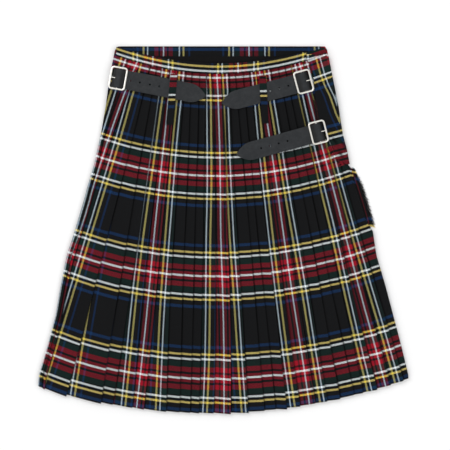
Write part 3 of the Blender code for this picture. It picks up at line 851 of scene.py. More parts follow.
def close_edit() -> None:
    """Turn every face of the mesh outward and leave its edit mode."""
    bpy.ops.mesh.select_all(action="SELECT")
    bpy.ops.mesh.normals_make_consistent(inside=False)
    bpy.ops.object.mode_set(mode="OBJECT")


def thicken(obj: Piece, thickness: float) -> None:
    """Give a sheet a thickness, half to each side.

    Args:
        obj: the sheet.
        thickness: its thickness in millimetres.
    """
    solid = obj.modifiers.new("thickness", "SOLIDIFY")
    solid.thickness = thickness * MM
    solid.offset = 0.0
    apply_all(obj)


def soften(obj: Piece, width: float, segments: int, angle: float = 60.0) -> None:
    """Round an object's sharp edges.

    Args:
        obj: the object.
        width: the bevel's width in millimetres.
        segments: its steps.
        angle: the least turn, in degrees, of an edge that is rounded.
    """
    soft = obj.modifiers.new("soft_edge", "BEVEL")
    soft.width = width * MM
    soft.segments = segments
    soft.limit_method = "ANGLE"
    soft.angle_limit = math.radians(angle)
    apply_all(obj)


def shade(obj: Piece, angle: float) -> None:
    """Shade an object smooth but for edges that turn by more than an angle in degrees."""
    pick(obj)
    bpy.ops.object.shade_smooth_by_angle(angle=math.radians(angle))


def rename(obj: Piece, name: str, finish: bpy.types.Material) -> None:
    """Give an object and its mesh one name, and the mesh one finish."""
    obj.name = obj.data.name = name
    obj.data.materials.clear()
    obj.data.materials.append(finish)


def hand_over(obj: Piece, node: str) -> None:
    """Let a finished piece ride on the kilt in its solid's place.

    Args:
        obj: the piece.
        node: its solid's node.
    """
    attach(obj, BODY)
    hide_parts(node)
    log.info("%s: %d faces in place of %s", obj.name, len(obj.data.polygons), node)


@dataclass
class Patch:
    """A grid of page points with each point's place on the cloth, and how strongly painted shade darkens it."""

    points: list[list[Point]] = field(default_factory=list)
    weave: list[list[Weave]] = field(default_factory=list)
    painted_shades: list[Sequence[float]] = field(default_factory=list)

    def add(self, points: list[Point], weave: list[Weave], painted_shades: Sequence[float] = ()) -> None:
        """Add a row of points."""
        for rows, row in ((self.points, points), (self.weave, weave), (self.painted_shades, painted_shades)):
            rows.append(row)


@dataclass
class ClothSheet:
    """A piece of cloth: patches that join where their points meet, given a thickness."""

    name: str
    thickness: float
    patches: list[Patch]
    sharp: float = 48.0
    merge: float = 0.001

    def build(self, finish: bpy.types.Material) -> Piece:
        """Make the piece.

        Args:
            finish: the cloth's material.

        Returns:
            The piece's object, a closed shell.
        """
        shell = bmesh.new()
        layer = shell.loops.layers.uv.new(WEAVE_MAP)
        marks = shell.verts.layers.float.new(PAINTED_SHADE)
        for patch in self.patches:
            self.lay(shell, layer, marks, patch)
        bmesh.ops.remove_doubles(shell, verts=shell.verts, dist=self.merge * MM)
        mesh = bpy.data.meshes.new(self.name)
        shell.to_mesh(mesh)
        shell.free()
        mesh.materials.append(finish)
        obj = bpy.data.objects.new(self.name, mesh)
        bpy.context.collection.objects.link(obj)
        thicken(obj, self.thickness)
        shade(obj, self.sharp)
        return obj

    def lay(self, shell: bmesh.types.BMesh, layer: Layer, marks: Layer, patch: Patch) -> None:
        """Add one patch's faces.

        Args:
            shell: the mesh that is being made.
            layer: its map of places on the cloth.
            marks: its points' marks for painted shade.
            patch: the patch.
        """
        grid = [[shell.verts.new(to_world(point)) for point in row] for row in patch.points]
        for row, values in zip(grid, patch.painted_shades):
            for vertex, value in zip(row, values):
                vertex[marks] = value
        for row in range(len(grid) - 1):
            for column in range(len(grid[row]) - 1):
                spots = ((row, column), (row + 1, column), (row + 1, column + 1), (row, column + 1))
                face = shell.faces.new([grid[r][c] for r, c in spots])
                for loop, (r, c) in zip(face.loops, spots):
                    across, down = patch.weave[r][c]
                    loop[layer].uv = (across * MM, down * MM)


@dataclass
class PleatedBack:
    """Twenty-seven knife pleats, each a face, a round folded edge and a fold hidden under it."""

    form: KiltForm
    rows: int = 96
    thickness: float = 0.9
    underfold: float = 0.5
    nose: float = 0.65
    # How far from the fold above it a face's first points lie, and how strongly painted shadow darkens them
    # there.
    shadow: tuple[Pair, ...] = ((0.0, 1.0), (1.2, 0.8), (2.9, 0.0))
    # The turns, in degrees, round a folded edge, and how strongly painted shade darkens the cloth there.
    nose_turns: tuple[Pair, ...] = ((60.0, 0.0), (25.0, 0.5), (-10.0, 1.0), (-50.0, 1.0), (-90.0, 1.0))
    face_steps: int = 4
    crown: float = 0.10
    # What of a pleat's drop is left at the start of the next face, and at its hidden fold.
    drop_kept: float = 0.15
    drop_under: float = 0.3
    # A folded edge's sway: how far, from which level to which it grows, its length and what each adds.
    waver: float = 0.45
    waver_levels: Pair = (30.0, 160.0)
    waver_length: Pair = (52.0, 5.0)
    # A fold's painted shadow: its least share of the full one, how far it varies, and over what length.
    shade_least: float = 0.72
    shade_length: float = 37.0

    def places(self, down: float) -> list[float]:
        """Find the edges and the folds at a level, with each fold's sway.

        Args:
            down: millimetres below the waist edge.

        Returns:
            How far across the page they lie.
        """
        places = self.form.fold_places(down)
        length, more = self.waver_length
        for index in range(1, len(places) - 1):
            sway = math.sin(down / (length + more * (index % 4)) + 1.9 * index)
            places[index] += self.waver * sway * smooth_step(down, *self.waver_levels)
        return places

    def face(self, before: float, end: float, strength: float) -> list[Pair]:
        """Lay out a pleat's face.

        Args:
            before: where it comes out from under the fold above it.
            end: where its own folded edge begins.
            strength: the share of the fold's full painted shadow.

        Returns:
            How far across the page its points lie, and how strongly painted shadow darkens them.
        """
        lit = before + self.shadow[-1][0]
        stations = [(before + away, hidden * strength) for away, hidden in self.shadow]
        return stations + [(x, 0.0) for x in spread(lit, end, self.face_steps)[1:]]

    def section(self, down: float) -> tuple[list[Point], list[Weave], list[float]]:
        """Work out the cloth's middle at a level.

        Args:
            down: millimetres below the waist edge.

        Returns:
            The page points from left to right, their places on the cloth, and their marks for painted shade.
        """
        form, nose = self.form, self.nose
        places = self.places(down)
        floor = form.pleat_floor(down) + form.cloth / 2
        low, high = floor + form.layer, floor + 3 * form.layer
        edge = form.under_apron_z + form.cloth / 2
        hang = smooth_step(down, 0.0, form.length)
        along = form.cloth_down(down)
        phases = [form.fold_cloth(fold, down) for fold in (*form.folds, form.last_fold)]
        drops = [fold.drop * hang for fold in form.folds] + [0.0]
        points: list[Point] = []
        weave: list[Weave] = []
        painted_shades: list[float] = []

        def put(x: float, z: float, drop: float, across: float, painted_shade: float = 0.0) -> None:
            """Add a point of the section.

            Args:
                x: how far across the page.
                z: its height before the creases lift it.
                drop: how far it hangs below its level.
                across: its place across the cloth.
                painted_shade: how strongly painted shade darkens it.
            """
            y = form.level_y(x, down) - drop
            points.append((x, y, z + form.rise(x, y)))
            weave.append((across, along))
            painted_shades.append(painted_shade)

        put(places[0], edge, 0.0, phases[0] - (places[1] - places[0]) - (low - edge))
        for index, fold in enumerate(places[1:]):
            phase, drop = phases[index], drops[index]
            before = places[index] + (form.cloth / 2 + form.gap / 2 if index else 0.0)
            end = fold - nose
            start_drop = drops[index - 1] * self.drop_kept if index else 0.0
            swell = (1 - self.shade_least) * math.sin(down / self.shade_length + 2.3 * index)
            for x, hidden in self.face(before, end, self.shade_least + swell if index else 0.0):
                share = (x - before) / (end - before)
                z = low + (high - low) * (share + self.crown * math.sin(math.pi * share))
                put(x, z, start_drop + (drop - start_drop) * share, phase - (fold - x), hidden)
            if index == len(places) - 2:
                put(fold, high - nose, 0.0, phase)
                put(fold, edge, 0.0, phase + high - edge)
                break
            for turn, hidden in self.nose_turns:
                angle = math.radians(turn)
                z = high - nose + nose * math.sin(angle)
                across = phase + nose * math.radians(90.0 - turn) - nose
                put(end + nose * math.cos(angle), z, drop, across, hidden)
            reach = (fold - places[index]) * self.underfold
            put(fold - reach + nose, low, drop * self.drop_under, phase + reach, 1.0)
            put(fold - reach, low - nose, 0.0, phase + reach + nose, 1.0)
            put(fold - reach + nose, low - 2 * nose, 0.0, phase + reach + 2 * nose, 1.0)
        return points, weave, painted_shades

    def build(self, wardrobe: Wardrobe) -> Piece:
        """Make the back.

        Args:
            wardrobe: the kilt\'s finishes.

        Returns:
            The piece.
        """
        form = self.form
        patch = Patch()
        for down in spread(0.0, form.length, self.rows):
            patch.add(*self.section(down))
        obj = ClothSheet("back_pleats", self.thickness, [patch]).build(wardrobe.tartan)
        hand_over(obj, "pleated_back")
        waist, width = (
            2 * (form.side_x(down, "pleats") - form.side_x(down, "left")) * MM for down in (0.0, form.length)
        )
        return obj


@dataclass
class FrontLayer:
    """A flat layer of the front between two sides, from one share of its length to another."""

    form: KiltForm
    name: str
    node: str
    slot: Slot
    low: float
    thickness: float
    shares: Pair
    rows: int = 60
    columns: int = 40
    inset: float = 5.0
    # The sheet's share of its solid's thickness.
    fineness: float = 0.92
    # Where the check's white middle and a blue stripe lie on the page, and the blue's place on the cloth.
    white_x: float = 45.7
    blue_y: float = 315.4
    blue_down: float = 52.95

    def weave_at(self, x: float, y: float) -> Weave:
        """The place on the cloth of a point of the layer."""
        return x - self.white_x, self.blue_down + self.blue_y - y

    def row(self, share: float) -> list[Point]:
        """Lay out one row.

        Args:
            share: the row's share of the front's length.

        Returns:
            The row's points, from the left side to the right.
        """
        form = self.form
        middle = self.low + self.thickness / 2
        places = spread(*form.front_ends(share, "pleats", self.inset), self.columns)
        line = [(x, form.front_y(x, share)) for x in places]
        return [(x, y, middle + form.rise(x, y)) for x, y in line]

    def build(self, finish: bpy.types.Material, flat: Pair, area: float) -> Piece:
        """Make the layer.

        Args:
            finish: its material.
            flat: the cut's width and length in metres; not used.
            area: the cut's flat area in square metres; not used.

        Returns:
            The layer's object.
        """
        patch = Patch()
        for share in spread(*self.shares, self.rows):
            row = self.row(share)
            patch.add(row, [self.weave_at(x, y) for x, y, _ in row])
        obj = ClothSheet(self.name, self.thickness * self.fineness, [patch]).build(finish)
        hand_over(obj, self.node)
        return obj


@dataclass
class OverApron:
    """The bottom layer with its right side folded up onto the pleats as a flap."""

    form: KiltForm
    rows: int = 100
    columns: int = 36
    flap_columns: int = 14
    thickness: float = 1.1
    corner: float = 2.4
    # The turns, in degrees, by which the cloth leaves the panel and comes onto the flap.
    lower_turns: tuple[float, ...] = (-60.0, -30.0, 0.0)
    upper_turns: tuple[float, ...] = (0.0, 30.0, 60.0, 90.0)
    flap_ease: float = 12.0
    flap_ends: Pair = (307.0, 109.0)
    # The flap's free edge: how far up the page and how far across.
    free_edge: tuple[Pair, ...] = (
        (300.0, 146.0),
        (272.5, 157.5),
        (250.0, 159.5),
        (226.0, 162.5),
        (192.0, 167.0),
        (176.0, 178.0),
        (131.0, 195.0),
        (108.0, 216.5),
    )
    # The flap's white thread line, which runs askew to its side, and its place on the cloth.
    white_line: tuple[Pair, ...] = (
        (314.2, 165.7),
        (298.0, 170.4),
        (270.6, 177.8),
        (250.9, 185.2),
        (231.6, 194.8),
        (202.2, 204.7),
        (181.1, 214.5),
        (108.0, 248.0),
    )
    white_across: float = -27.8
    # A charted point of the flap, its place down the cloth, and the check's slope and stretch there.
    charted: Pair = (172.2, 268.8)
    charted_down: float = 32.45
    stretch: float = 0.972
    slope: float = 0.36
    slope_loss: float = 0.10
    slope_end: float = 170.0
    # How far from the fold the panel's check turns into the plain one, and the plain one's zero.
    turn_width: float = 150.0
    plain_zero: float = 20.0
    # The cloth round the fold: the share of it and the millimetres by which its places are moved.
    round_share: float = 0.7
    round_shift: float = 3.0
    # The flap's slow swell, then its gathered lower end: each one's height and wave.
    swell: Pair = (0.35, 19.0)
    gather_height: float = 0.5
    gather_levels: Pair = (184.0, 158.0)
    fine_wave: Point = (0.9, 3.4, 0.6)
    broad_wave: Pair = (0.4, 6.1)
    gather_hold: float = 0.9

    def edge_at(self, y: float) -> float:
        """Where the flap's free edge lies at a height up the page."""
        return held_line(self.free_edge, y)

    def flap_low(self, y: float) -> float:
        """The flap's underside, just above the pleats at its free edge."""
        return self.form.pleat_top(self.edge_at(y), y + self.flap_ease)

    def flap_weave(self, x: float, y: float) -> Weave:
        """Chart a point of the flap.

        Args:
            x: how far across the page.
            y: how far up the page.

        Returns:
            Its place on the cloth.
        """
        charted_x, charted_y = self.charted
        across = self.white_across + x - on_line(self.white_line, y)
        tilt = self.slope - self.slope_loss * smooth_step(-y, -charted_y, -self.slope_end)
        drop = (charted_y - y) + tilt * (x - charted_x)
        return across, self.charted_down + self.stretch * drop

    def panel_weave(self, x: float, y: float, fold: float) -> Weave:
        """Chart a point of the panel, whose check meets the flap's at the fold.

        Args:
            x: how far across the page.
            y: how far up the page.
            fold: how far across the folded side lies.

        Returns:
            Its place on the cloth.
        """
        share = 1 - smooth_step(fold - x, 0.0, self.turn_width)
        across, down = self.flap_weave(fold, y)
        turned = across + fold - x
        plain = (self.plain_zero - x, self.form.front_top - y - self.plain_zero)
        return plain[0] + (turned - plain[0]) * share, plain[1] + (down - plain[1]) * share

    def fold_section(self, fold: float, y: float) -> list[Pair]:
        """Lay out the middle of the cloth round the fold.

        Args:
            fold: how far across the folded side lies.
            y: how far up the page the section lies.

        Returns:
            Its places across and heights, from the panel up to the flap.
        """
        half = self.form.apron_cloth / 2
        outer = fold - half
        top = self.flap_low(y) + half
        path = [(outer - self.corner, half)]
        for turns, level, side in ((self.lower_turns, half, 1), (self.upper_turns, top, -1)):
            for turn in turns:
                angle = math.radians(turn)
                x = outer + self.corner * (math.cos(angle) - 1)
                path.append((x, level + side * self.corner * (1 + side * math.sin(angle))))
        return path

    def gather(self, x: float, y: float) -> float:
        """Find how far the flap's gathered lower end rises, above zero, or sinks.

        Args:
            x: how far across the page.
            y: how far up the page.

        Returns:
            The rise, from -1 to 1.
        """
        start, end = self.gather_levels
        near = smooth_step(-y, -start, -end)
        lean, length, phase = self.fine_wave
        fine = math.sin((x + lean * y) / length + phase)
        lean, length = self.broad_wave
        return near * fine * math.cos((x - lean * y) / length)

    def flap_row(self, fold: float, y: float) -> tuple[list[Point], list[Weave]]:
        """Lay out one row of the flap.

        Args:
            fold: how far across the folded side lies.
            y: how far up the page the row lies.

        Returns:
            The row's points from the panel round to the free edge, and their places on the cloth.
        """
        section = self.fold_section(fold, y)
        across, down = self.flap_weave(fold, y)
        points = [(x, y, z) for x, z in section]
        length = 2 * self.corner * math.pi / 2 + self.flap_low(y) - 2 * self.corner
        shares = spread(0.0, 1.0, len(section) - 1)
        weave = [(across + length * (self.round_share - share) - self.round_shift, down) for share in shares]
        start_x, top = section[-1]
        weave[-1] = self.flap_weave(start_x, y)
        edge = self.edge_at(y)
        height, wave = self.swell
        for share in spread(0.0, 1.0, self.flap_columns)[1:]:
            x = start_x + (edge - start_x) * share
            puff = height * math.sin(math.pi * share) * math.sin(y / wave)
            held = math.sin(math.pi * min(share, self.gather_hold))
            gather = self.gather_height * abs(self.gather(x, y)) * held
            points.append((x, y, top + max(puff, 0.0) + gather))
            weave.append(self.flap_weave(x, y))
        return points, weave

    def build(self, wardrobe: Wardrobe) -> Piece:
        """Make the over apron.

        Args:
            wardrobe: the kilt\'s finishes.

        Returns:
            The piece.
        """
        form = self.form
        panel, flap = Patch(), Patch()
        for share in spread(0.0, 1.0, self.rows):
            left, right = form.front_ends(share, "apron")
            fold, height = right, form.front_y(right, share)
            folded = self.flap_ends[1] < height < self.flap_ends[0]
            if folded:
                right -= form.apron_cloth / 2 + self.corner
            places = [(x, form.front_y(x, share)) for x in spread(left, right, self.columns)]
            if folded:
                places[-1] = (places[-1][0], height)
            line = [(x, y, form.apron_cloth / 2 + form.rise(x, y)) for x, y in places]
            panel.add(line, [self.panel_weave(x, y, fold) for x, y in places])
            if folded:
                turn, weave = self.flap_row(fold, height)
                # Painted shade on the flap's gathered lower end, where the gather rises.
                painted_shades = [max(self.gather(x, y), 0.0) for x, y, _ in turn]
                flap.add([line[-1], *turn[1:]], weave, painted_shades)
        obj = ClothSheet("outer_panel", self.thickness, [panel, flap]).build(wardrobe.tartan)
        hand_over(obj, "over_apron")
        return obj


@dataclass
class Waistband:
    """The checked band over the waist edge, rolled over it, on the back or on the flap."""

    form: KiltForm
    apron: OverApron
    height: float = 16.0
    rolled: float = 8.0
    middle_across: float = 26.4
    # The place down the cloth of the band's lower edge, and how much higher it is on the flap.
    edge_down: float = -28.75
    flap_shift: float = 3.5
    thickness: float = 0.85
    flap_cut: float = 10.5
    steps: int = 120
    flap_steps: int = 24
    # The band's section: from its lower edge, the shares of its face, and from the waist edge.
    lower_roll: tuple[Pair, ...] = ((0.0, -0.05), (0.8, 0.12))
    face_shares: tuple[float, ...] = (0.2, 0.4, 0.6, 0.8, 1.0)
    face_rise: float = 0.12
    upper_roll: tuple[Pair, ...] = ((0.9, -0.15), (1.35, -0.9), (1.4, -2.0))
    # The flap's band: its upper edge, its ends' places across, and its section's shares and heights.
    flap_top: float = 305.4
    flap_level: float = 306.0
    flap_span: Pair = (150.0, 175.0)
    flap_section: tuple[Pair, ...] = (
        (0.0, -0.1),
        (0.04, 0.05),
        (0.2, 0.1),
        (0.4, 0.12),
        (0.6, 0.12),
        (0.8, 0.1),
        (0.96, 0.05),
        (1.0, -0.1),
    )

    def ring(self, x: float, top: float, low: float) -> list[Pair]:
        """Lay out the section of the back's band.

        Args:
            x: how far across the page.
            top: the height of its face.
            low: the height of its rolled end.

        Returns:
            Its places up the page and heights, from its lower edge over the waist edge.
        """
        inner = self.form.level_y(x, 0.0) + self.form.gap
        lower = self.form.level_y(x, self.height)
        ring = [(lower + away, top + rise) for away, rise in self.lower_roll]
        ring += [(lower + (inner - lower) * share, top + self.face_rise) for share in self.face_shares]
        ring += [(inner + away, top + rise) for away, rise in self.upper_roll]
        return ring + [(inner + self.upper_roll[-1][0], low)]

    def back(self, wardrobe: Wardrobe) -> Piece:
        """Make the band of the back.

        Args:
            wardrobe: the kilt\'s finishes.

        Returns:
            The piece.
        """
        form = self.form
        right = self.apron.edge_at(form.level_y(self.flap_span[0], 0.0)) - form.gap
        top = form.pleat_floor(0.0) + form.pleat_stack + form.gap + form.cloth / 2
        low = form.lining_z + form.layer + self.thickness / 2
        xs = spread(form.side_x(0.0, "left"), right, self.steps)
        lengths = [0.0]
        for before, after in zip(xs, xs[1:]):
            rise = form.level_y(after, 0.0) - form.level_y(before, 0.0)
            lengths.append(lengths[-1] + math.hypot(after - before, rise))
        middle = on_line(list(zip(xs, lengths)), self.middle_across)
        patch = Patch()
        for x, length in zip(xs, lengths):
            ring = self.ring(x, top, low)
            downs = [self.edge_down]
            for (y0, z0), (y1, z1) in zip(ring, ring[1:]):
                downs.append(downs[-1] - math.hypot(y1 - y0, z1 - z0))
            patch.add([(x, y, z) for y, z in ring], [(length - middle, down) for down in downs])
        obj = ClothSheet("waist_binding", self.thickness, [patch]).build(wardrobe.tartan)
        hand_over(obj, "waistband_back")
        return obj

    def flap(self, wardrobe: Wardrobe) -> Piece:
        """Make the band of the flap.

        Args:
            wardrobe: the kilt\'s finishes.

        Returns:
            The piece.
        """
        form, upper = self.form, self.flap_top
        base = self.apron.flap_low(self.flap_level) + form.apron_cloth + form.gap + self.thickness / 2
        left = self.apron.edge_at(upper)
        right = form.edge_x(upper, "apron") - form.apron_cloth
        start, end = (form.level_y(x, self.height) for x in self.flap_span)
        lowers = spread(start, end, self.flap_steps)
        patch = Patch()
        for x, lower in zip(spread(left, right, self.flap_steps), lowers):
            line = [(x, lower + (upper - lower) * share, base + rise) for share, rise in self.flap_section]
            downs = [self.edge_down - (y - lower) - self.flap_shift for _, y, _ in line]
            patch.add(line, [(x - self.middle_across, down) for down in downs])
        obj = ClothSheet("flap_binding", self.thickness, [patch]).build(wardrobe.tartan)
        hand_over(obj, "waistband_apron")
        return obj


class StrapPlan(NamedTuple):
    """A strap's middle line, width and holes, and its buckle's place, turn and side."""

    name: str
    path: tuple[Pair, ...]
    width: float
    buckle_x: float
    tilt: float
    holes: tuple[Pair, ...]


STRAPS = (
    StrapPlan(
        name="left",
        path=((-193.0, 265.4), (-167.0, 260.5), (-89.0, 245.0), (-29.5, 232.5)),
        width=33.0,
        buckle_x=-183.5,
        tilt=-10.0,
        holes=((-162.5, 259.6), (-145.5, 256.3), (-127.9, 252.8), (-111.4, 249.6)),
    ),
    StrapPlan(
        name="right",
        path=((151.5, 260.6), (128.0, 254.0), (68.5, 238.0), (-2.5, 219.5)),
        width=33.0,
        buckle_x=141.0,
        tilt=195.0,
        holes=((82.6, 241.8), (98.4, 246.1), (114.2, 250.4)),
    ),
    StrapPlan(
        name="lower",
        path=((176.6, 172.1), (153.0, 165.0), (56.0, 138.5), (23.0, 130.0)),
        width=32.0,
        buckle_x=167.0,
        tilt=194.0,
        holes=((66.8, 141.5), (82.2, 145.7), (97.6, 149.9), (113.0, 154.1)),
    ),
)


@dataclass
class Strap:
    """A leather strap that runs over its buckle's bar and lies on the pleats to an arched tip."""

    form: KiltForm
    plan: StrapPlan
    leather: float = 1.7
    tip_length: float = 30.0
    tip_power: float = 2.1
    tip_blunt: float = 0.04
    bar_rise: float = 2.8
    bar_reach: Pair = (3.2, 11.7)
    stations: int = 130
    columns: int = 10
    curve_steps: int = 40
    # How much closer the rows stand towards the tip.
    crowding: float = 1.15
    hole: float = 1.65
    hole_sides: int = 14
    hole_depth: float = 8.0
    bevel: float = 0.45
    float_height: float = 0.05
    # How far the first end dips and its sides curl up, and over what length.
    tuck: Pair = (2.6, 4.0)
    curl: Pair = (0.25, 40.0)
    # Where the painted shade by the bar, the frame's and the outer painted shadow end, and how dark the last
    # two are.
    bar_shadow: Pair = (1.5, 6.5)
    frame_edge: Pair = (10.5, 14.0)
    outer_shadow: Pair = (14.0, 21.0)
    shades: Pair = (0.75, 0.25)

    @property
    def rest(self) -> float:
        """The height that the strap lies at."""
        return max(self.form.pleat_top(x, y) for x, y in self.plan.path)

    def line(self) -> list[Vector]:
        """Follow a smooth curve through the strap's path.

        Returns:
            Points close together on the curve.
        """
        path = [Vector((x, y, 0.0)) for x, y in self.plan.path]
        points = [path[0] * 2 - path[1]] + path + [path[-1] * 2 - path[-2]]
        made = []
        for index in range(1, len(points) - 2):
            before, start, end, after = points[index - 1 : index + 3]
            for t in spread(0.0, 1.0, self.curve_steps)[:-1]:
                bend = (before * 2 - start * 5 + end * 4 - after) * t * t
                twist = (start * 3 - before - end * 3 + after) * t * t * t
                made.append((start * 2 + (end - before) * t + bend + twist) / 2)
        return [*made, path[-1]]

    def half_width(self, left_over: float) -> float:
        """Find half the strap's width at a distance from its tip.

        Args:
            left_over: the distance.

        Returns:
            Half the width there.
        """
        if left_over >= self.tip_length:
            return self.plan.width / 2
        share = 1 - left_over / self.tip_length
        return self.plan.width / 2 * max(1 - share**self.tip_power, self.tip_blunt)

    def centre(self) -> Vector:
        """The middle of the strap's buckle."""
        return Vector((self.plan.buckle_x, held_line(self.plan.path, self.plan.buckle_x), 0.0))

    def build(self, wardrobe: Wardrobe) -> Piece:
        """Make the strap.

        Args:
            wardrobe: the kilt\'s finishes.

        Returns:
            The piece.
        """
        grid = bpy.ops.mesh.primitive_grid_add
        obj = make_primitive(grid, x_subdivisions=self.stations, y_subdivisions=self.columns, size=2.0)
        rename(obj, f"strap_{self.plan.name}_leather", wardrobe.leather)
        line = StrapLine(self)
        # Painted shade on the strap beside the bar, inside its buckle's frame and just outside it.
        marks = obj.data.attributes.new(PAINTED_SHADE, "FLOAT", "POINT")
        for vertex, mark in zip(obj.data.vertices, marks.data):
            share = (vertex.co.x + 1) / 2
            mark.value = line.painted_shade(share)
            vertex.co = to_world(line.place(share, vertex.co.y))
        thicken(obj, self.leather)
        self.punch(obj)
        soften(obj, self.bevel, 3, 40.0)
        shade(obj, 35.0)
        hand_over(obj, f"strap_{self.plan.name}")
        return obj

    def punch(self, obj: Piece) -> None:
        """Cut the strap's round holes.

        Args:
            obj: the strap.
        """
        size = {"vertices": self.hole_sides, "radius": self.hole * MM, "depth": self.hole_depth * MM}
        for x, y in self.plan.holes:
            deselect()
            spot = to_world((x, y, self.rest + self.leather / 2))
            bpy.ops.mesh.primitive_cylinder_add(location=spot, **size)
            cutter = bpy.context.object
            cut = obj.modifiers.new("hole", "BOOLEAN")
            cut.object = cutter
            cut.operation = "DIFFERENCE"
            cut.solver = "EXACT"
            apply_all(obj)
            bpy.data.objects.remove(cutter, do_unlink=True)


class StrapLine:
    """A strap's middle line, measured once."""

    def __init__(self, strap: Strap) -> None:
        """Measure the strap's line and find its buckle's bar on it.

        Args:
            strap: the strap.
        """
        self.strap = strap
        self.points = strap.line()
        self.lengths = [0.0]
        for before, after in zip(self.points, self.points[1:]):
            self.lengths.append(self.lengths[-1] + (after - before).length)
        centre = strap.centre()
        self.bar = self.lengths[min(range(len(self.points)), key=lambda i: (self.points[i] - centre).length)]

    def where(self, share: float) -> float:
        """How far along the strap a share of its rows lies."""
        return self.lengths[-1] * (1 - (1 - share) ** self.strap.crowding)

    def painted_shade(self, share: float) -> float:
        """Find how strongly painted shade darkens the strap beside the bar and just outside its frame.

        Args:
            share: the share of the strap's rows.

        Returns:
            The mark there, from 0 to 1.
        """
        strap = self.strap
        away = abs(self.where(share) - self.bar)
        beyond = smooth_step(away, *strap.frame_edge)
        inside = smooth_step(away, *strap.bar_shadow) * (1 - beyond)
        outside = (1 - smooth_step(away, *strap.outer_shadow)) * beyond
        return strap.shades[0] * inside + strap.shades[1] * outside

    def place(self, share: float, across: float) -> Point:
        """Find a point of the strap's middle surface.

        Args:
            share: the share of the strap's rows.
            across: the place across it, from -1 to 1.

        Returns:
            The page point.
        """
        strap, points = self.strap, self.points
        last = len(points) - 1
        where = self.where(share)
        left_over = self.lengths[-1] - where
        index = min(max(1, sum(length < where for length in self.lengths)), last)
        part = (where - self.lengths[index - 1]) / (self.lengths[index] - self.lengths[index - 1])
        ahead = (points[min(index + 2, last)] - points[max(index - 3, 0)]).normalized()
        side = Vector((-ahead.y, ahead.x, 0.0))
        spot = points[index - 1].lerp(points[index], part) + side * strap.half_width(left_over) * across
        lift = strap.bar_rise * (1 - smooth_step(abs(where - self.bar), *strap.bar_reach))
        tuck = strap.tuck[0] * (1 - smooth_step(where, 0.0, strap.tuck[1]))
        curl = strap.curl[0] * across * across * (1 - smooth_step(left_over, 0.0, strap.curl[1]))
        return spot.x, spot.y, strap.rest + strap.leather / 2 + strap.float_height + lift - tuck + curl


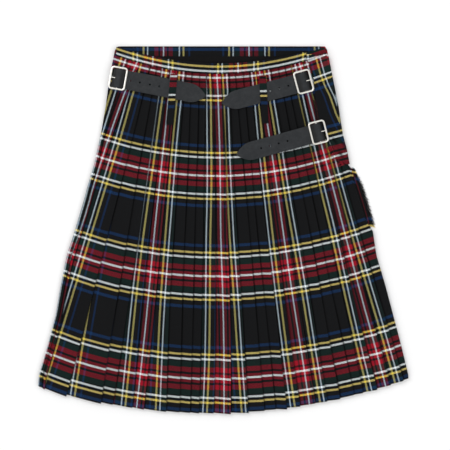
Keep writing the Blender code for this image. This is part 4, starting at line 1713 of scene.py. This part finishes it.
@dataclass
class Buckle:
    """A centre-bar buckle: a rounded nickel frame, its bar under the strap and its prong."""

    strap: Strap
    along: float = 30.0
    across: float = 41.0
    corner: float = 4.5
    corner_cut: float = 1.3
    corner_steps: int = 6
    wire: float = 3.2
    wire_height: float = 2.4
    wire_round: float = 0.95
    bar: float = 2.4
    bar_sides: int = 20
    bar_rise: float = 0.5
    bar_round: float = 0.4
    post: Pair = (3.6, 2.2)
    post_inset: float = 0.5
    post_rise: float = 0.2
    post_round: float = 0.5
    prong: float = 1.8
    prong_sides: int = 14
    # How far the prong's root lies behind the bar, its tip beyond the frame, and its bend's radius.
    prong_root: float = 1.6
    prong_tip: float = 0.5
    prong_lift: float = 2.0
    prong_bend: float = 1.2
    prong_dip: float = 0.02
    # The prong's three lengths, as shares of its reach, and how each one tapers.
    taper: tuple[Pair, ...] = ((0.55, 0.95), (0.30, 0.85), (0.15, 0.5))
    gap: float = 0.3
    cloth_leather: float = 1.8
    smooth: float = 40.0

    def settle(self, obj: Piece) -> None:
        """Turn a piece that was made at the origin to its buckle's place, and fix it in its mesh.

        Args:
            obj: the piece.
        """
        pick(obj)
        centre = self.strap.centre()
        obj.location = to_world((centre.x, centre.y, self.strap.rest))
        obj.rotation_euler = (0.0, 0.0, math.radians(self.strap.plan.tilt))
        bpy.ops.object.transform_apply(location=True, rotation=True, scale=True)

    def frame(self) -> Piece:
        """Make the frame round the strap.

        Returns:
            The frame at the origin.
        """
        low = (self.cloth_leather + self.gap) * MM
        size = (self.along * MM, self.across * MM, 1.0)
        obj = make_primitive(bpy.ops.mesh.primitive_plane_add, size, size=1.0, location=(0.0, 0.0, low))
        bpy.ops.object.mode_set(mode="EDIT")
        bpy.ops.mesh.select_all(action="SELECT")
        cut = self.corner * self.corner_cut * MM
        bpy.ops.mesh.bevel(offset=cut, segments=self.corner_steps, affect="VERTICES")
        bpy.ops.mesh.select_all(action="SELECT")
        bpy.ops.mesh.inset(thickness=self.wire * MM, depth=0.0)
        bpy.ops.mesh.delete(type="FACE")
        bpy.ops.mesh.select_all(action="SELECT")
        bpy.ops.mesh.extrude_region_move(TRANSFORM_OT_translate={"value": (0.0, 0.0, self.wire_height * MM)})
        close_edit()
        soften(obj, self.wire_round, 4)
        return obj

    def crossbar(self) -> Piece:
        """Make the bar across the frame's middle.

        Returns:
            The bar at the origin.
        """
        obj = make_primitive(
            bpy.ops.mesh.primitive_cylinder_add,
            vertices=self.bar_sides,
            radius=self.bar / 2 * MM,
            depth=(self.across - self.wire) * MM,
            location=(0.0, 0.0, (self.bar_rise + self.bar / 2) * MM),
            rotation=(math.pi / 2, 0.0, 0.0),
        )
        soften(obj, self.bar_round, 2)
        return obj

    def posts(self) -> list[Piece]:
        """Make the two short posts that carry the bar's ends under the frame.

        Returns:
            The posts at the origin.
        """
        size = (self.post[0] * MM, (self.wire - self.post_inset) * MM, self.post[1] * MM)
        made = []
        for side in (-1.0, 1.0):
            y, z = side * (self.across - self.wire) / 2 * MM, (self.cloth_leather + self.post_rise) * MM
            made.append(make_primitive(bpy.ops.mesh.primitive_cube_add, size, size=1.0, location=(0.0, y, z)))
            soften(made[-1], self.post_round, 3)
        return made

    def build_frame(self, wardrobe: Wardrobe) -> Piece:
        """Make the frame with its bar.

        Args:
            wardrobe: the kilt\'s finishes.

        Returns:
            The piece.
        """
        outer = self.frame()
        parts = (outer, self.crossbar(), *self.posts())
        deselect()
        for part in parts:
            part.select_set(True)
        bpy.context.view_layer.objects.active = outer
        bpy.ops.object.join()
        rename(outer, f"buckle_{self.strap.plan.name}_frame", wardrobe.nickel)
        self.settle(outer)
        shade(outer, self.smooth)
        hand_over(outer, f"buckle_{self.strap.plan.name}")
        return outer

    def build_prong(self, wardrobe: Wardrobe) -> Piece:
        """Make the prong, up through the strap's hole and over the frame's side.

        Args:
            wardrobe: the kilt\'s finishes.

        Returns:
            The piece.
        """
        half, bend = self.prong / 2, self.prong_bend * MM
        root = -(self.prong_root + self.gap + half) * MM
        end = -(self.along / 2 + self.prong_tip) * MM
        over = (self.bar_rise + self.prong_lift + self.gap + self.cloth_leather + self.gap + half) * MM
        low = (self.bar_rise + half) * MM
        obj = make_primitive(
            bpy.ops.mesh.primitive_circle_add,
            vertices=self.prong_sides,
            radius=half * MM,
            fill_type="NGON",
            location=(root, 0.0, low),
        )
        bpy.ops.object.mode_set(mode="EDIT")
        bpy.ops.mesh.select_all(action="SELECT")
        bpy.ops.mesh.extrude_region_move(TRANSFORM_OT_translate={"value": (0.0, 0.0, over - bend - low)})
        middle = (root - bend, 0.0, over - bend)
        bpy.ops.mesh.spin(steps=6, angle=math.pi / 2, center=middle, axis=(0.0, -1.0, 0.0))
        for share, size in self.taper:
            step = (-(root - bend - end) * share, 0.0, -self.prong_dip * MM)
            bpy.ops.mesh.extrude_region_move(TRANSFORM_OT_translate={"value": step})
            bpy.ops.transform.resize(value=(1.0, size, size))
        bpy.ops.mesh.select_all(action="SELECT")
        bpy.ops.mesh.remove_doubles(threshold=0.00001)
        close_edit()
        rename(obj, f"prong_{self.strap.plan.name}_tongue", wardrobe.nickel)
        self.settle(obj)
        shade(obj, self.smooth)
        hand_over(obj, f"prong_{self.strap.plan.name}")
        return obj


@dataclass
class BeltLoop:
    """A folded strip of the cloth that lies on the pleats and rises over its strap."""

    form: KiltForm
    name: str
    strap: Strap
    x: float
    lean: float
    top: float
    bottom: float
    white_y: float
    width: float = 12.0
    clear: float = 5.0
    thickness: float = 0.9
    rows: int = 60
    columns: int = 8
    leather: float = 1.8
    # Where the strip rises, from the strap's edge and its clearance, and how much its middle swells.
    slope: Pair = (-2.0, 1.5)
    swell: float = 0.25
    # The strip's middle on the cloth and half its width there, and what the cut has over its length.
    weave_middle: float = 61.0
    weave_half: float = 6.0
    turned_in: float = 5.0

    def height(self, x: float, y: float, middle: float) -> float:
        """Find the strip's lower side.

        Args:
            x: how far across the page.
            y: how far up the page.
            middle: how far up the page the strap's middle lies.

        Returns:
            Its height there.
        """
        half = self.strap.plan.width / 2 + self.clear
        over = self.strap.rest + self.leather + 2 * self.form.gap
        low = self.form.pleat_top(x, y)
        share = smooth_step(abs(y - middle), half + self.slope[0], half + self.slope[1])
        return over * (1 - share) + low * share

    def build(self, wardrobe: Wardrobe) -> Piece:
        """Make the loop.

        Args:
            wardrobe: the kilt\'s finishes.

        Returns:
            The piece.
        """
        middle = held_line(self.strap.plan.path, self.x)
        sides = spread(-1.0, 1.0, self.columns)
        patch = Patch()
        for row, y in enumerate(spread(self.top, self.bottom, self.rows)):
            centre = self.x + self.lean * row / self.rows
            base = self.height(centre, y, middle) + self.form.cloth / 2
            patch.add(
                [(centre + side * self.width / 2, y, base + self.swell * (1 - side**4)) for side in sides],
                [(self.weave_middle + side * self.weave_half, self.white_y - y) for side in sides],
            )
        obj = ClothSheet(f"loop_{self.name}_strip", self.thickness, [patch]).build(wardrobe.tartan)
        hand_over(obj, f"belt_loop_{self.name}")
        return obj


@dataclass
class Fringe:
    """A frayed stretch of the apron's edge: a narrow woven strip and its loose yarns."""

    form: KiltForm
    apron: OverApron
    name: str
    rows: Pair
    strands: int
    reach: float
    side: int
    strip: float
    # Over how many millimetres from the top the yarns grow to their full reach, and their least share.
    growth: float = 0.0
    least: float = 0.25
    radius: float = 0.55
    thickness: float = 0.85
    steps: int = 24
    # The strip's shares from its inner edge, and the check across it there: a red line, then black.
    edge_weave: tuple[Pair, ...] = ((0.0, 12.0), (0.3, 9.1), (0.4, 8.4), (1.0, 6.0))
    # The strip's middle over the pleats and over the floor, and the lowest that a yarn lies.
    flap_lift: float = 0.55
    side_lift: float = 0.65
    lowest: float = 0.62
    # A charted height of the side and its place down the cloth, and the yarns' place across it.
    charted_y: float = 100.1
    charted_down: float = 40.8
    yarn_across: float = 61.0
    rings: int = 5
    corners: int = 5
    overlap: float = 0.6
    direction: Pair = (0.94, -0.34)
    # How the yarns differ: each wave's size and its step from yarn to yarn.
    length_middle: float = 0.82
    length_waves: tuple[Pair, ...] = ((0.22, 2.3), (0.12, 5.1))
    turn_waves: tuple[Pair, ...] = ((0.30, 1.7), (0.18, 4.3))
    curl_waves: tuple[Pair, ...] = ((0.28, 3.1),)
    arch: float = 1.5
    arch_least: float = 0.2
    arch_step: float = 2.9
    taper: float = 0.62

    def root(self, y: float) -> Pair:
        """Find the strip's inner edge.

        Args:
            y: how far up the page.

        Returns:
            Its place across and its height.
        """
        if self.side < 0:
            return self.apron.edge_at(y) - self.form.gap, self.apron.flap_low(y) + self.flap_lift
        return self.form.edge_x(y, "apron") - self.form.apron_cloth / 2 + self.form.gap, self.side_lift

    def weave_down(self, x: float, y: float) -> float:
        """Find the place along the cloth of a yarn.

        Args:
            x: how far across the page.
            y: how far up the page.

        Returns:
            Its place down the cloth.
        """
        if self.side < 0:
            return self.apron.flap_weave(x, y)[1]
        return self.charted_down + (self.charted_y - y)

    def build(self, wardrobe: Wardrobe) -> Piece:
        """Make the fringe.

        Args:
            wardrobe: the kilt\'s finishes.

        Returns:
            The piece.
        """
        patch = Patch()
        for y in spread(*self.rows, self.steps):
            x, z = self.root(y)
            line = [(x + self.side * self.strip * share, y, z) for share, _ in self.edge_weave]
            patch.add(line, [(across, self.weave_down(x, y)) for _, across in self.edge_weave])
        strip = ClothSheet(f"{self.name}_yarns", self.thickness, [patch]).build(wardrobe.tartan)
        strip.data.materials.append(wardrobe.yarn)
        shell = bmesh.new()
        shell.from_mesh(strip.data)
        layer = shell.loops.layers.uv[WEAVE_MAP]
        for index in range(self.strands):
            self.add_strand(shell, layer, index)
        shell.to_mesh(strip.data)
        shell.free()
        hand_over(strip, self.name)
        return strip

    def add_strand(self, shell: bmesh.types.BMesh, layer: Layer, index: int) -> None:
        """Add one loose yarn.

        Args:
            shell: the fringe's mesh.
            layer: its map of places on the cloth.
            index: the yarn's number from the top.
        """
        first, last = self.rows
        y = first + (last - first) * ((index + 0.5) / self.strands)
        x, z = self.root(y)
        start = Vector((x + self.side * (self.strip - self.overlap), y, z))
        length_sway, turn, curl = (
            sum(size * math.sin(index * step) for size, step in waves)
            for waves in (self.length_waves, self.turn_waves, self.curl_waves)
        )
        length = self.reach * (self.length_middle + length_sway)
        if self.growth:
            length *= self.least + (1 - self.least) * smooth_step(first - y, 0.0, self.growth)
        heading = Vector((self.side * self.direction[0], self.direction[1] + turn, 0.0)).normalized()
        beside = Vector((-heading.y, heading.x, 0.0))
        arch = self.arch * (self.arch_least + (1 - self.arch_least) * math.sin(index * self.arch_step) ** 2)
        loops: list[Ring] = []
        for part in spread(0.0, 1.0, self.rings - 1):
            centre = start + heading * (length * part) + beside * (curl * part * part * length)
            centre.z = max(z + arch * math.sin(math.pi * part), self.lowest)
            size = self.radius * (1.0 - self.taper * part * part)
            loops.append(self.ring(shell, centre, beside, size))
        self.close(shell, layer, loops, self.weave_down(x, y))

    def ring(self, shell: bmesh.types.BMesh, centre: Vector, beside: Vector, size: float) -> Ring:
        """Add the points round a yarn.

        Args:
            shell: the fringe's mesh.
            centre: the yarn's middle, on the page.
            beside: the direction across it.
            size: its radius.

        Returns:
            The points in order.
        """
        loop = []
        for corner in range(self.corners):
            angle = math.tau * corner / self.corners
            spot = centre + beside * (size * math.cos(angle))
            spot.z += size * math.sin(angle)
            loop.append(shell.verts.new(to_world(tuple(spot))))
        return loop

    def close(self, shell: bmesh.types.BMesh, layer: Layer, loops: list[Ring], down: float) -> None:
        """Add a yarn's faces.

        Args:
            shell: the fringe's mesh.
            layer: its map of places on the cloth.
            loops: the points round the yarn, from its root to its end.
            down: its place down the cloth.
        """
        faces = [shell.faces.new(loops[0][::-1])]
        for near, far in zip(loops, loops[1:]):
            for here in range(self.corners):
                there = (here + 1) % self.corners
                faces.append(shell.faces.new((near[here], near[there], far[there], far[here])))
        faces.append(shell.faces.new(loops[-1]))
        bmesh.ops.recalc_face_normals(shell, faces=faces)
        for face in faces:
            face.material_index = 1
            face.smooth = True
            for loop in face.loops:
                loop[layer].uv = (self.yarn_across * MM, down * MM)


class Lamp(NamedTuple):
    """A square soft light: its name, its place and side in metres, and its power in watts."""

    name: str
    place: Point
    size: float
    watts: float


@dataclass
class Studio:
    """The pale floor, soft lights and the camera straight above the kilt."""

    height: float = 2.6
    frame_width: float = 0.7907
    centre: Pair = (0.0031, 0.0089)
    sensor: float = 36.0
    clip: Pair = (0.01, 50.0)
    floor_size: float = 7.0
    floor_z: float = -0.0003
    lamps: tuple[Lamp, ...] = (
        Lamp("key", (-1.1, 1.0, 1.9), 1.3, 15.0),
        Lamp("fill", (1.3, -0.9, 1.7), 1.6, 9.0),
    )
    sky: float = 0.80
    sky_colour: Colour = (1.0, 1.0, 1.0, 1.0)

    def camera(self) -> None:
        """Add the camera, which looks straight down."""
        data = bpy.data.cameras.new("camera")
        data.sensor_width = self.sensor
        data.lens = self.sensor * self.height / self.frame_width
        data.clip_start, data.clip_end = self.clip
        obj = bpy.data.objects.new("camera", data)
        obj.location = (*self.centre, self.height)
        bpy.context.collection.objects.link(obj)
        bpy.context.scene.camera = obj

    def light(self, lamp: Lamp) -> None:
        """Add a lamp that faces the kilt.

        Args:
            lamp: the lamp.
        """
        data = bpy.data.lights.new(lamp.name, "AREA")
        data.size = lamp.size
        data.energy = lamp.watts
        obj = bpy.data.objects.new(lamp.name, data)
        obj.location = lamp.place
        obj.rotation_euler = (-Vector(lamp.place)).to_track_quat("-Z", "Y").to_euler()
        bpy.context.collection.objects.link(obj)

    def floor(self) -> None:
        """Add the floor."""
        plane = bpy.ops.mesh.primitive_plane_add
        obj = make_primitive(plane, size=self.floor_size, location=(0.0, 0.0, self.floor_z))
        rename(obj, "floor", FloorFinish().make())

    def build(self) -> None:
        """Set up the studio."""
        self.camera()
        self.floor()
        for lamp in self.lamps:
            self.light(lamp)
        world = bpy.data.worlds.new("studio")
        world.use_nodes = True
        sky = world.node_tree.nodes["Background"]
        sky.inputs["Color"].default_value = self.sky_colour
        sky.inputs["Strength"].default_value = self.sky
        bpy.context.scene.world = world
        bpy.context.scene.view_settings.view_transform = "Standard"


def front_pieces(form: KiltForm, wardrobe: Wardrobe) -> None:
    """Make the under apron and the lining.

    Args:
        form: the kilt's form.
        wardrobe: its finishes.
    """
    under = FrontLayer(
        form=form,
        name="under_panel",
        node="under_apron",
        slot=Slot.TARTAN,
        low=form.under_apron_z,
        thickness=form.apron_cloth,
        shares=(0.0, 0.985),
    )
    under.build(wardrobe.tartan, flat=(0.65, 0.63), area=0.302)
    lining = FrontLayer(
        form=form,
        name="waist_lining",
        node="front_lining",
        slot=Slot.LINING,
        low=form.lining_z,
        thickness=form.cloth,
        shares=(0.0275, 0.12),
        rows=16,
    )
    lining.build(wardrobe.lining, flat=(0.38, 0.06), area=0.021)


def loops_and_fringes(form: KiltForm, apron: OverApron, straps: list[Strap], wardrobe: Wardrobe) -> None:
    """Make the belt loops and the apron's fringes.

    Args:
        form: the kilt's form.
        apron: its over apron.
        straps: its straps, of which the first two have a loop.
        wardrobe: its finishes.
    """
    flap = {"form": form, "apron": apron, "side": -1, "strip": 1.6}
    pieces = (
        BeltLoop(form, "left", straps[0], x=-85.6, lean=-8.0, top=272.0, bottom=182.5, white_y=267.1),
        BeltLoop(form, "right", straps[1], x=69.2, lean=4.6, top=268.5, bottom=185.0, white_y=273.7),
        Fringe(name="apron_fringe_upper", rows=(226.0, 190.0), strands=34, reach=4.5, **flap),
        Fringe(name="apron_fringe_lower", rows=(148.0, 110.0), strands=44, reach=8.0, **flap),
        Fringe(form, apron, "apron_fringe_side", (108.3, 4.0), 172, reach=7.4, side=1, strip=6.2, growth=34.0),
    )
    for piece in pieces:
        piece.build(wardrobe)


def main() -> None:
    """Make the kilt's pieces in order, from the bottom layer up."""
    logging.basicConfig(level=logging.INFO, format="%(message)s")
    form = KiltForm()
    wardrobe = Wardrobe()
    apron = OverApron(form)
    apron.build(wardrobe)
    front_pieces(form, wardrobe)
    PleatedBack(form).build(wardrobe)
    band = Waistband(form, apron)
    band.back(wardrobe)
    band.flap(wardrobe)
    straps = [Strap(form, plan) for plan in STRAPS]
    for strap in straps:
        strap.build(wardrobe)
        buckle = Buckle(strap)
        buckle.build_frame(wardrobe)
        buckle.build_prong(wardrobe)
    loops_and_fringes(form, apron, straps, wardrobe)
    Studio().build()


if __name__ == "__main__":
    main()
